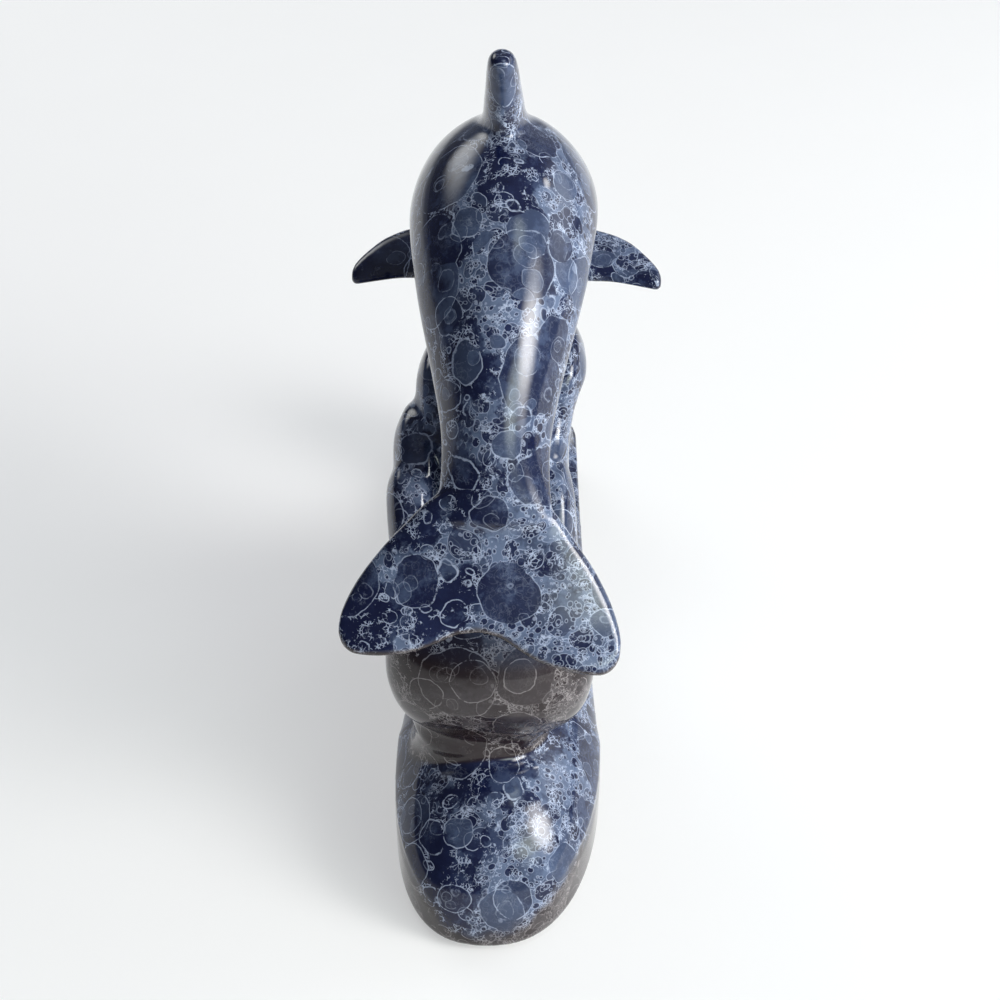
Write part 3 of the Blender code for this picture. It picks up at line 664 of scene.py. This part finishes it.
def base_plan(inset=0.0):
    """The outline of the mound, moved in by the inset."""
    side = []
    for k in range(PLAN_POINTS + 1):
        y = -BASE_LENGTH / 2 * math.cos(math.pi * k / PLAN_POINTS)
        side.append((base_half_width(y), y))
    outline = [Vector((base_middle(y) + x, y, 0)) for x, y in side]
    outline += [Vector((base_middle(y) - x, y, 0)) for x, y in side[-2:0:-1]]
    if not inset:
        return outline
    moved = []
    for before, here, after in zip(outline[-1:] + outline[:-1], outline, outline[1:] + outline[:1]):
        along = (after - before).normalized()
        moved.append(here + Vector((-along.y, along.x, 0)) * inset)
    return moved


def base_shoulder(y):
    """The height of the mound's side wall, which sinks round the end of the tail."""
    share = max(0, BASE_WIDEST_Y - y) / BASE_TAIL_LENGTH
    return BASE_SHOULDER_HEIGHT - BASE_TAIL_DROP * share**BASE_DROP_SHARPNESS


def base_crown(y):
    """The height of the mound's ridge: it climbs from the tail to the wave, and drops to the cup."""
    if y < 0:
        share = min(1, (y - BASE_TAIL_Y) / BASE_CLIMB_LENGTH)
        climb = math.sin(share * math.pi / 2) ** BASE_CLIMB_FULLNESS
        return base_shoulder(y) + (BASE_CROWN_HEIGHT - base_shoulder(y)) * climb
    share = min(1, y / (CUP_CENTRE_Y - CUP_FOOT_RADIUS))
    ease = share * share * (3 - 2 * share)
    ridge = BASE_CROWN_HEIGHT + (BASE_NOSE_HEIGHT - BASE_CROWN_HEIGHT) * ease
    nose = max(0, (y - BASE_NOSE_Y) / BASE_NOSE_HALF_WIDTH)
    return BASE_SHOULDER_HEIGHT + (ridge - BASE_SHOULDER_HEIGHT) * math.sqrt(max(0, 1 - nose * nose))


def base_top(x, y):
    width = base_half_width(y)
    share = min(1, abs(x - base_middle(y)) / width) if width > 0 else 1
    shoulder = base_shoulder(y)
    return shoulder + (base_crown(y) - shoulder) * (1 - share * share) ** BASE_DOME_FULLNESS


def base_loft():
    rings = []
    for bevels_in, bevels_up in BASE_FOOT_PROFILE:
        height = Vector((0, 0, BASE_BOTTOM + BASE_FOOT_BEVEL * bevels_up))
        rings.append([p + height for p in base_plan(BASE_FOOT_BEVEL * bevels_in)])
    for bevels_in, share in BASE_WALL_PROFILE:
        ring = base_plan(BASE_FOOT_BEVEL * bevels_in)
        rings.append([p + Vector((0, 0, base_shoulder(p.y) * share)) for p in ring])
    for k in range(1, DOME_RINGS):
        share = math.cos(math.pi / 2 * k / DOME_RINGS)
        ring = [Vector((p.x * share, p.y * share, 0)) for p in base_plan()]
        rings.append([Vector((p.x, p.y, base_top(p.x, p.y))) for p in ring])
    return loft(rings)


def cup_loft():
    """A turned profile that runs down the outside and up the bore, with a rolled lip."""
    outer = SOCKET_RADIUS + CUP_WALL
    foot = BASE_SHOULDER_HEIGHT - 2 * CUP_LIP
    middle = (SOCKET_RADIUS + outer) / 2
    lip = (outer - SOCKET_RADIUS) / 2
    waist = (BASE_NOSE_HEIGHT + CUP_RIM_HEIGHT) / 2
    profile = curve_through(
        [
            (CUP_FOOT_RADIUS, foot),
            (CUP_FOOT_RADIUS, BASE_NOSE_HEIGHT),
            ((CUP_FOOT_RADIUS + outer) / 2 - CUP_LIP, BASE_NOSE_HEIGHT + CUP_LIP * 2),
            (outer - CUP_LIP, waist),
            (outer - CUP_LIP * CUP_FLARE, CUP_RIM_HEIGHT - 3 * CUP_LIP),
        ],
        FINE_STEPS,
    )
    for k in range(FINE_STEPS + 1):
        angle = math.pi * k / FINE_STEPS
        profile.append((middle + lip * math.cos(angle), CUP_RIM_HEIGHT - lip + lip * math.sin(angle)))
    profile.append((SOCKET_RADIUS, CUP_RIM_HEIGHT - SOCKET_DEPTH + CUP_LIP))
    profile.append((SOCKET_RADIUS - CUP_LIP, CUP_RIM_HEIGHT - SOCKET_DEPTH))
    rings = []
    for radius, height in profile:
        centre = Vector((0, CUP_CENTRE_Y, height))
        rings.append(oval(centre, Vector((radius, 0, 0)), Vector((0, radius, 0)), FINE_SIDES))
    return loft(rings)


# Skins


def as_piece(name, mesh):
    piece = bpy.data.objects.new(name, mesh)
    bpy.context.scene.collection.objects.link(piece)
    return piece


def apply_modifiers(piece):
    graph = bpy.context.evaluated_depsgraph_get()
    mesh = bpy.data.meshes.new_from_object(piece.evaluated_get(graph))
    piece.modifiers.clear()
    piece.data = mesh


def joined(name, meshes):
    bm = bmesh.new()
    for mesh in meshes:
        bm.from_mesh(mesh)
    whole = bpy.data.meshes.new(name)
    bm.to_mesh(whole)
    bm.free()
    return whole


def melted(name, meshes, pooling=0):
    """One closed skin round several lofts; the glaze pools in the creases between them."""
    piece = as_piece(name, joined(name, meshes))
    remesh = piece.modifiers.new("melt", "REMESH")
    remesh.mode = "VOXEL"
    remesh.voxel_size = VOXEL
    even = piece.modifiers.new("even", "SMOOTH")
    even.factor = EVEN_SHARE
    even.iterations = EVEN_ROUNDS
    apply_modifiers(piece)
    pool(piece.data, pooling)
    piece.data.shade_smooth()
    return piece


def corners_of(mesh):
    places = np.empty(len(mesh.vertices) * 3)
    mesh.vertices.foreach_get("co", places)
    return places.reshape(-1, 3)


def put_corners(mesh, places):
    mesh.vertices.foreach_set("co", places.reshape(-1))
    mesh.update()


def normals_of(mesh):
    normals = np.empty(len(mesh.vertices) * 3)
    mesh.vertex_normals.foreach_get("vector", normals)
    return normals.reshape(-1, 3)


def pool(mesh, rounds):
    """Fills hollow creases only: a point moves out where its neighbours stand higher than it."""
    edges = np.empty(len(mesh.edges) * 2, dtype=np.int64)
    mesh.edges.foreach_get("vertices", edges)
    ends = np.concatenate([edges[0::2], edges[1::2]])
    others = np.concatenate([edges[1::2], edges[0::2]])
    count = np.bincount(ends, minlength=len(mesh.vertices))[:, None]
    for _ in range(rounds):
        places = corners_of(mesh)
        total = np.stack([np.bincount(ends, places[others, axis], len(places)) for axis in range(3)], axis=1)
        pull = total / count - places
        rise = np.sum(pull * normals_of(mesh), axis=1)
        places += pull * (np.clip(rise / POOL_SOFTNESS, 0, 1) * POOL_STEP)[:, None]
        put_corners(mesh, places)


def tree_of(mesh):
    return BVHTree.FromPolygons([v.co for v in mesh.vertices], [p.vertices for p in mesh.polygons])


def distances_to(tree, places):
    return np.array([tree.find_nearest(place)[3] for place in places])


def eased(values, start, end):
    """Runs smoothly from 0 at the start to 1 at the end."""
    share = np.clip((values - start) / (end - start), 0, 1)
    return share * share * (3 - 2 * share)


def luted(name, own, neighbours):
    """A skin round its own lofts that pools against its finished neighbours and ends on their skins."""
    own_mesh = joined(name + "_own", own)
    piece = melted(name, [own_mesh, *(neighbour.data for neighbour in neighbours)], WAVE_POOLING)
    places = corners_of(piece.data)
    sink = eased(distances_to(tree_of(own_mesh), places), FOOT_FILLET, 2 * FOOT_FILLET)
    places -= normals_of(piece.data) * SEAM_SINK * sink[:, None]
    put_corners(piece.data, places)
    for neighbour in neighbours:
        trim = piece.modifiers.new("trim", "BOOLEAN")
        trim.operation = "DIFFERENCE"
        trim.solver = "MANIFOLD"
        trim.object = neighbour
        apply_modifiers(piece)
    keep_one_skin(piece.data)
    piece.data.shade_smooth()
    piece.data.set_sharp_from_angle(angle=SHARP_ANGLE)
    return piece


def keep_one_skin(mesh):
    """Removes the scraps that a trim leaves loose, so that one closed skin is left."""
    bm = bmesh.new()
    bm.from_mesh(mesh)
    waiting = set(bm.faces)
    largest = set()
    while waiting:
        skin = set()
        reached = [waiting.pop()]
        while reached:
            face = reached.pop()
            skin.add(face)
            for edge in face.edges:
                for beyond in edge.link_faces:
                    if beyond in waiting:
                        waiting.remove(beyond)
                        reached.append(beyond)
        if len(skin) > len(largest):
            largest = skin
    bmesh.ops.delete(bm, geom=[face for face in bm.faces if face not in largest], context="FACES")
    bm.to_mesh(mesh)
    bm.free()


def wobble(mesh, height, size):
    """A hand-finished surface: low waves all over."""
    normals = normals_of(mesh)
    places = corners_of(mesh)
    for number, place in enumerate(places):
        places[number] += normals[number] * height * noise.noise(Vector(place) / size)
    put_corners(mesh, places)


def carve(mesh, path, width, depth):
    """A rounded groove along a path, or a bead at a negative depth; gives how far off each corner lies."""
    places = corners_of(mesh)
    normals = normals_of(mesh)
    nearest = np.full(len(places), np.inf)
    for start, end in zip(path, path[1:]):
        start = np.array(start)
        run = np.array(end) - start
        share = np.clip((places - start) @ run / (run @ run), 0, 1)
        nearest = np.minimum(nearest, np.linalg.norm(places - start - share[:, None] * run, axis=1))
    places -= normals * (depth * np.exp(-((nearest / width) ** 2)))[:, None]
    put_corners(mesh, places)
    return nearest


def mark(piece, name, shares):
    """Keeps a share for each corner of the skin, for its glaze to read."""
    kept = piece.data.attributes.new(name, "FLOAT", "POINT")
    kept.data.foreach_set("value", shares)


def paint_base_reflection(piece):
    """Painted reflection of a brown table on the side wall below the shoulder line, which runs down round the
    tail.
    """
    places = corners_of(piece.data)
    line = np.array([base_shoulder(y) for y in places[:, 1]])
    ripple = np.array([noise.noise(Vector(place) / REFLECTION_RIPPLE) for place in places]) * 2 * REFLECTION_EDGE
    mark(piece, TABLE_REFLECTION, eased(places[:, 2] + ripple, line + REFLECTION_EDGE, line - REFLECTION_FADE * REFLECTION_EDGE))


def paint_swell_reflection(piece, swell):
    """Painted reflection of a brown table on the swell's own skin, all but its upward side."""
    far = distances_to(tree_of(swell), corners_of(piece.data))
    facing = normals_of(piece.data)
    steep = eased(facing[:, 2], *SWELL_STEEP)
    behind = eased(facing[:, 1], *SWELL_BEHIND)
    mark(piece, TABLE_REFLECTION, eased(far, 2 * REFLECTION_EDGE, REFLECTION_EDGE / 2) * steep * behind)


def paint_fluke_rim_reflection(piece):
    """Painted reflection of a brown table on the flukes' rounded trailing edge, where it turns downward."""
    body_end = BODY_STATIONS[0][0] * GRID_SPACING
    tail = eased(corners_of(piece.data)[:, 1], body_end, body_end - 2 * REFLECTION_EDGE)
    mark(piece, TABLE_REFLECTION, eased(normals_of(piece.data)[:, 2], *FLUKE_RIM) * tail)


# Materials


class Shading:
    """Builds one node material, with the surface's own place in millimetres as its coordinates."""

    def __init__(self, name):
        self.material = bpy.data.materials.new(name)
        self.material.use_nodes = True
        self.tree = self.material.node_tree
        self.tree.nodes.clear()
        place = self.new("ShaderNodeTexCoord").outputs["Object"]
        self.place = self.vector("SCALE", place, scale=1 / MILLIMETRE)

    def new(self, kind, **settings):
        node = self.tree.nodes.new(kind)
        for key, value in settings.items():
            setattr(node, key, value)
        return node

    def feed(self, socket, value):
        if isinstance(value, bpy.types.NodeSocket):
            self.tree.links.new(value, socket)
        else:
            socket.default_value = value

    def vector(self, operation, first, second=None, scale=None):
        node = self.new("ShaderNodeVectorMath", operation=operation)
        self.feed(node.inputs[0], first)
        if second is not None:
            self.feed(node.inputs[1], second)
        if scale is not None:
            self.feed(node.inputs["Scale"], scale)
        return node.outputs[0]

    def math(self, operation, *values):
        node = self.new("ShaderNodeMath", operation=operation)
        for socket, value in zip(node.inputs, values):
            self.feed(socket, value)
        return node.outputs[0]

    def ease(self, value, start, end, low=0.0, high=1.0):
        node = self.new("ShaderNodeMapRange", interpolation_type="SMOOTHSTEP")
        for socket, number in zip(node.inputs, (value, start, end, low, high)):
            self.feed(socket, number)
        return node.outputs[0]

    def mix(self, share, first, second):
        node = self.new("ShaderNodeMix", data_type="RGBA")
        self.feed(node.inputs[0], share)
        self.feed(node.inputs[6], first)
        self.feed(node.inputs[7], second)
        return node.outputs[2]

    def noise(self, place, size, detail, roughness=0.5, shift=(0, 0, 0)):
        node = self.new("ShaderNodeTexNoise")
        self.feed(node.inputs["Vector"], self.vector("ADD", place, shift))
        self.feed(node.inputs["Scale"], 1 / size)
        self.feed(node.inputs["Detail"], detail)
        self.feed(node.inputs["Roughness"], roughness)
        return node

    def cells(self, place, size, feature="F1", shift=(0, 0, 0), randomness=1.0):
        node = self.new("ShaderNodeTexVoronoi", feature=feature)
        self.feed(node.inputs["Vector"], self.vector("ADD", place, shift))
        self.feed(node.inputs["Scale"], 1 / size)
        self.feed(node.inputs["Randomness"], randomness)
        return node

    def attribute(self, name):
        return self.new("ShaderNodeAttribute", attribute_name=name).outputs["Fac"]

    def finish(self, shader, height=None, strength=0.0, distance=0.0):
        if height is not None:
            bump = self.new("ShaderNodeBump")
            self.feed(bump.inputs["Height"], height)
            self.feed(bump.inputs["Strength"], strength)
            self.feed(bump.inputs["Distance"], distance)
            self.tree.links.new(bump.outputs[0], shader.inputs["Normal"])
        output = self.new("ShaderNodeOutputMaterial")
        self.tree.links.new(shader.outputs[0], output.inputs["Surface"])
        return self.material


def bubbles(s, place, size, rim, smallest, largest, presence, shift):
    """Round bubbles, one to a cell: their thin rims, their discs and a tone for each."""
    cell = s.cells(place, size, shift=shift, randomness=BUBBLE_SCATTER)
    tones = s.new("ShaderNodeSeparateColor")
    s.feed(tones.inputs[0], cell.outputs["Color"])
    radius = s.math("MULTIPLY_ADD", tones.outputs[0], largest - smallest, smallest)
    from_rim = s.math("SUBTRACT", cell.outputs["Distance"], radius)
    present = s.math("LESS_THAN", tones.outputs[1], presence)
    line = s.ease(s.math("ABSOLUTE", from_rim), rim / size, RIM_CORE * rim / size)
    disc = s.ease(from_rim, DISC_EDGE, -DISC_EDGE)
    return s.math("MULTIPLY", line, present), s.math("MULTIPLY", disc, present), tones.outputs[2]


def lace(s, place, size, width, shift):
    """The thin walls between burst bubbles."""
    wall = s.cells(place, size, "DISTANCE_TO_EDGE", shift).outputs["Distance"]
    return s.ease(wall, width / size, LACE_CORE * width / size)


def bubble_glaze(name):
    """Cobalt glaze over which pale bubbles have run, burst and left rings, lace and foam."""
    s = Shading(name)
    drift = s.noise(s.place, *DRIFT_NOISE).outputs["Color"]
    warped = s.vector("ADD", s.place, s.vector("SCALE", drift, scale=DRIFT_REACH))
    ripple = s.noise(s.place, *RIPPLE_NOISE).outputs["Color"]
    wavy = s.vector("ADD", warped, s.vector("SCALE", ripple, scale=RIPPLE_REACH))
    ragged = s.noise(s.place, *RAGGED_NOISE).outputs["Color"]
    fine_place = s.vector("ADD", warped, s.vector("SCALE", ragged, scale=RAGGED_REACH))

    broken = s.ease(s.noise(s.place, *BROKEN_NOISE).outputs["Fac"], *BROKEN_EDGE)
    cloud = s.noise(s.place, *CLOUD_NOISE).outputs["Fac"]
    apart = s.new("ShaderNodeSeparateXYZ")
    s.feed(apart.inputs[0], s.place)
    lean = s.ease(apart.outputs["X"], *FOAM_LEAN)
    patches = s.math("ADD", s.noise(warped, *PATCH_NOISE).outputs["Fac"], lean)
    clear = s.ease(patches, *CLEAR_EDGE)
    rings = []
    inside = 0.0
    for size, rim, smallest, largest, presence, shift, fill, bright in BUBBLES:
        line, disc, tone = bubbles(s, wavy, size, rim, smallest, largest, presence, shift)
        if size > LARGE_BUBBLE:
            inside = s.math("MAXIMUM", disc, inside)
        else:
            line = s.math("MULTIPLY", line, s.math("MULTIPLY_ADD", inside, -SMALL_RIM_LOSS, 1.0))
        rings.append((line, disc, tone, fill, bright))
    between_bubbles = s.math("MULTIPLY_ADD", inside, -FOAM_LOSS, 1.0)
    foam = s.math("MULTIPLY", s.ease(patches, *FOAM_EDGE), between_bubbles)
    specks = s.ease(s.noise(fine_place, *SPECK_NOISE).outputs["Fac"], *SPECK_EDGE)
    specks = s.math("MULTIPLY", specks, between_bubbles)

    # Painted reflection of a brown table: where the skin is marked, the glaze's colours turn brown
    reflected_brown = s.math("MULTIPLY", s.attribute(TABLE_REFLECTION), REFLECTED_BROWN_SHARE)
    navy = s.mix(reflected_brown, s.mix(s.ease(cloud, *NAVY_EDGE), NAVY_DEEP, NAVY_LIGHT), REFLECTED_BROWN_NAVY)
    milk = s.mix(reflected_brown, MILK, REFLECTED_BROWN_MILK)
    pale = s.mix(reflected_brown, PALE, REFLECTED_BROWN_PALE)
    haze = s.math("MULTIPLY", s.ease(cloud, *HAZE_EDGE), HAZE_SHARE)
    colour = s.mix(s.math("MULTIPLY", haze, clear), navy, milk)
    height = 0.0
    for line, disc, tone, fill, bright in rings:
        milky = s.math("MULTIPLY", s.ease(tone, *BUBBLE_TONES, fill), clear)
        colour = s.mix(s.math("MULTIPLY", disc, milky), colour, milk)
        share = s.math("MULTIPLY", line, s.math("MULTIPLY", broken, bright))
        colour = s.mix(share, colour, pale)
        height = s.math("MULTIPLY_ADD", share, RIM_HEIGHT, height)
    froth = s.math("MULTIPLY", foam, s.ease(cloud, *FROTH_EDGE))
    colour = s.mix(froth, colour, s.mix(FROTH_PALENESS, milk, pale))
    for size, smallest, largest, presence, shift in HOLES:
        line, disc, tone = bubbles(s, fine_place, size, HOLE_RIM, smallest, largest, presence, shift)
        dark = s.math("MULTIPLY", foam, s.ease(tone, *HOLE_TONES))
        colour = s.mix(s.math("MULTIPLY", disc, dark), colour, navy)
        rim = s.math("MULTIPLY", line, s.math("MULTIPLY", foam, HOLE_RIM_SHARE))
        colour = s.mix(rim, colour, pale)
    for (size, width, bright, shift), mask in (
        (COARSE_LACE, specks),
        (FINE_LACE, s.math("MULTIPLY", specks, broken)),
    ):
        share = s.math("MULTIPLY", lace(s, fine_place, size, width, shift), s.math("MULTIPLY", mask, bright))
        colour = s.mix(share, colour, pale)
        height = s.math("MULTIPLY_ADD", share, LACE_HEIGHT, height)
    colour = s.mix(s.math("MULTIPLY", s.attribute(POOLED), POOLED_SHARE), colour, navy)

    shader = s.new("ShaderNodeBsdfPrincipled")
    s.feed(shader.inputs["Base Color"], colour)
    shader.inputs["Roughness"].default_value = GLAZE_ROUGHNESS
    shader.inputs["IOR"].default_value = GLAZE_IOR
    return s.finish(shader, height, GLAZE_BUMP, GLAZE_BUMP_HEIGHT)


def felt_material():
    s = Shading("felt")
    fuzz = s.noise(s.place, *FELT_FUZZ).outputs["Fac"]
    shader = s.new("ShaderNodeBsdfPrincipled")
    s.feed(shader.inputs["Base Color"], s.mix(fuzz, FELT_DARK, FELT_LIGHT))
    shader.inputs["Roughness"].default_value = FELT_ROUGHNESS
    shader.inputs["Sheen Weight"].default_value = FELT_SHEEN
    return s.finish(shader, fuzz, FELT_BUMP, FELT_BUMP_HEIGHT)


def floor_material():
    """A pale floor. Near the figure the camera and mirror-like surfaces also see it glow white."""
    s = Shading("floor")
    shader = s.new("ShaderNodeBsdfPrincipled")
    grain = s.noise(s.place, *FLOOR_GRAIN).outputs["Fac"]
    s.feed(shader.inputs["Base Color"], s.mix(grain, FLOOR_DULL, FLOOR_BRIGHT))
    shader.inputs["Roughness"].default_value = FLOOR_ROUGHNESS
    shader.inputs["Specular IOR Level"].default_value = FLOOR_SHINE
    glow = s.new("ShaderNodeEmission")
    glow.inputs["Strength"].default_value = 1.0
    path = s.new("ShaderNodeLightPath")
    seen = s.math("MAXIMUM", path.outputs["Is Camera Ray"], path.outputs["Is Glossy Ray"])
    seen = s.math("MAXIMUM", seen, path.outputs["Is Transmission Ray"])
    distance = s.new("ShaderNodeVectorMath", operation="LENGTH")
    s.feed(distance.inputs[0], s.place)
    near = s.ease(distance.outputs["Value"], GLOW_END / MILLIMETRE, GLOW_START / MILLIMETRE, 0.0, GLOW_SHARE)
    both = s.new("ShaderNodeMixShader")
    s.feed(both.inputs[0], s.math("MULTIPLY", seen, near))
    s.tree.links.new(shader.outputs[0], both.inputs[1])
    s.tree.links.new(glow.outputs[0], both.inputs[2])
    return s.finish(both)


# Pieces


def dress(piece, material, slot, *nodes):
    piece.data.materials.clear()
    piece.data.materials.append(material)
    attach(piece, "root")
    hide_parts(*nodes)


def build_dolphin():
    meshes = [body_loft(), flukes_loft(), dorsal_fin_loft(), pectoral_fin_loft(-1), pectoral_fin_loft(1)]
    piece = melted("dolphin", meshes, pooling=FIN_POOLING)
    wobble(piece.data, WOBBLE_HEIGHT, WOBBLE_SIZE)
    mesh = piece.data
    skin = tree_of(mesh)
    pooled = np.zeros(len(mesh.vertices))
    for side in (-1, 1):
        mouth = [skin.find_nearest(on_body(station, height, side))[0] for station, height in MOUTH]
        eye = skin.find_nearest(on_body(*EYE, side))[0]
        from_mouth = carve(mesh, mouth, MOUTH_WIDTH, MOUTH_DEPTH)
        socket = ring_round(eye, EYE_RADIUS * EYE_SOCKET_RADIUS)
        carve(mesh, socket, EYE_RADIUS * EYE_SOCKET_WIDTH, EYE_DEPTH)
        from_eye = carve(mesh, [eye, eye + EYE_STEP], EYE_RADIUS * EYE_BALL_WIDTH, -EYE_BULGE)
        for distance, reach in ((from_mouth, MOUTH_POOL), (from_eye, EYE_POOL)):
            pooled = np.maximum(pooled, np.exp(-((distance / reach) ** 2)))
    mark(piece, POOLED, pooled)
    blowhole = on_body(*BLOWHOLE, 0)
    half = Vector((BLOWHOLE_WIDTH / 2, 0, 0))
    droop = Vector((0, 0, BLOWHOLE_WIDTH * BLOWHOLE_DROOP))
    line = [blowhole - half, blowhole + droop, blowhole + half]
    carve(mesh, line, BLOWHOLE_WIDTH * BLOWHOLE_LINE, EYE_DEPTH)
    return piece


def ring_round(centre, radius):
    """A ring across X, round a place on the side of the head."""
    points = []
    for k in range(RING_STEPS + 1):
        angle = math.tau * k / RING_STEPS
        points.append(centre + Vector((0, radius * math.cos(angle), radius * math.sin(angle))))
    return points


def build_base():
    piece = melted("base", [base_loft()])
    wobble(piece.data, WOBBLE_HEIGHT / 2, WOBBLE_SIZE * 2)
    return piece


def build_wave(dolphin, base):
    meshes = [
        upright_loft(COLUMN_ROWS, COLUMN_HALF_WIDTH),
        upright_loft(SWELL_ROWS, SWELL_HALF_WIDTH, SWELL_BULGE_HEIGHT),
    ]
    meshes += [crest_loft(rows) for rows in CRESTS.values()]
    return luted("wave", meshes, [dolphin, base])


def build_cup(base):
    return luted("cup", [cup_loft()], [base])


def build_felt():
    rings = []
    for inset, share in FELT_PROFILE:
        height = Vector((0, 0, share * FELT_THICKNESS))
        rings.append([p + height for p in base_plan(FELT_INSET + inset)])
    return as_piece("felt", loft(rings))


def build_pieces():
    dolphin = build_dolphin()
    base = build_base()
    wave = build_wave(dolphin, base)
    cup = build_cup(base)
    felt = build_felt()
    paint_fluke_rim_reflection(dolphin)
    paint_base_reflection(base)
    paint_swell_reflection(wave, upright_loft(SWELL_ROWS, SWELL_HALF_WIDTH, SWELL_BULGE_HEIGHT))
    fins = ["dorsal_fin", "pectoral_fin_left", "pectoral_fin_right", "tail_flukes"]
    glaze = bubble_glaze("bubble_glaze")
    dress(dolphin, glaze, "glaze", "dolphin_body", *fins)
    dress(wave, glaze, "glaze", "wave_column", "rear_swell", *CRESTS)
    dress(base, glaze, "glaze", "base_mound")
    dress(cup, glaze, "glaze", "candle_cup")
    dress(felt, felt_material(), "felt", "felt_pad")


# Stage, light and camera


def build_stage():
    bm = bmesh.new()
    bmesh.ops.create_grid(bm, x_segments=1, y_segments=1, size=FLOOR_SIZE)
    mesh = bpy.data.meshes.new("floor")
    bm.to_mesh(mesh)
    bm.free()
    mesh.materials.append(floor_material())
    as_piece("floor", mesh)


def light_room():
    world = bpy.data.worlds.new("studio")
    world.use_nodes = True
    tree = world.node_tree
    background = tree.nodes["Background"]
    background.inputs["Color"].default_value = ROOM_COLOUR
    axes = tree.nodes.new("ShaderNodeSeparateXYZ")
    tree.links.new(tree.nodes.new("ShaderNodeTexCoord").outputs["Generated"], axes.inputs[0])
    tree.links.new(eased_node(tree, axes.outputs["X"], ROOM_STRENGTH), background.inputs["Strength"])
    bpy.context.scene.world = world


def eased_node(tree, value, run):
    """Eases a value: where it starts and ends, and what it runs between."""
    node = tree.nodes.new("ShaderNodeMapRange")
    node.interpolation_type = "SMOOTHSTEP"
    tree.links.new(value, node.inputs[0])
    for socket, number in zip(list(node.inputs)[1:5], run):
        socket.default_value = number
    return node.outputs[0]


def add_lamp(name, azimuth, elevation, size, radiance, colour):
    """An area lamp whose angles, and whose size as seen from the figure, are in degrees."""
    flat = math.cos(math.radians(elevation))
    away = Vector((math.sin(math.radians(azimuth)) * flat, math.cos(math.radians(azimuth)) * flat, 0))
    away.z = math.sin(math.radians(elevation))
    data = bpy.data.lights.new(name, "AREA")
    data.shape = "RECTANGLE"
    data.size, data.size_y = (2 * LAMP_DISTANCE * math.tan(math.radians(angle) / 2) for angle in size)
    data.energy = 4 * radiance * data.size * data.size_y
    data.color = colour
    soften(data)
    lamp = bpy.data.objects.new(name, data)
    lamp.location = LAMP_AIM + away * LAMP_DISTANCE
    lamp.rotation_euler = (-away).to_track_quat("-Z", "Y").to_euler()
    bpy.context.scene.collection.objects.link(lamp)


def soften(data):
    """The lamp fades from its middle to its edge."""
    data.use_nodes = True
    tree = data.node_tree
    place = tree.nodes.new("ShaderNodeNewGeometry").outputs["Parametric"]
    off = tree.nodes.new("ShaderNodeVectorMath")
    off.operation = "SUBTRACT"
    off.inputs[1].default_value = (0.5, 0.5, 0)
    flat = tree.nodes.new("ShaderNodeVectorMath")
    flat.operation = "MULTIPLY"
    flat.inputs[1].default_value = (1, 1, 0)
    length = tree.nodes.new("ShaderNodeVectorMath")
    length.operation = "LENGTH"
    tree.links.new(place, off.inputs[0])
    tree.links.new(off.outputs[0], flat.inputs[0])
    tree.links.new(flat.outputs[0], length.inputs[0])
    fade = eased_node(tree, length.outputs["Value"], LAMP_FADE)
    tree.links.new(fade, tree.nodes["Emission"].inputs["Strength"])


def place_camera():
    data = bpy.data.cameras.new("camera")
    data.sensor_width = SENSOR_WIDTH
    data.lens = FOCAL_IN_PIXELS / IMAGE_SIZE * SENSOR_WIDTH
    camera = bpy.data.objects.new("camera", data)
    look = Vector(
        (
            -math.sin(CAMERA_AZIMUTH) * math.cos(CAMERA_ELEVATION),
            math.cos(CAMERA_AZIMUTH) * math.cos(CAMERA_ELEVATION),
            -math.sin(CAMERA_ELEVATION),
        )
    )
    camera.location = CAMERA_TARGET - look * CAMERA_DISTANCE
    camera.rotation_euler = look.to_track_quat("-Z", "Y").to_euler()
    bpy.context.scene.collection.objects.link(camera)
    bpy.context.scene.camera = camera


build_pieces()
build_stage()
light_room()
for lamp_name, lamp_row in LAMPS.items():
    add_lamp(lamp_name, *lamp_row)
place_camera()
bpy.context.scene.view_settings.view_transform = "Standard"
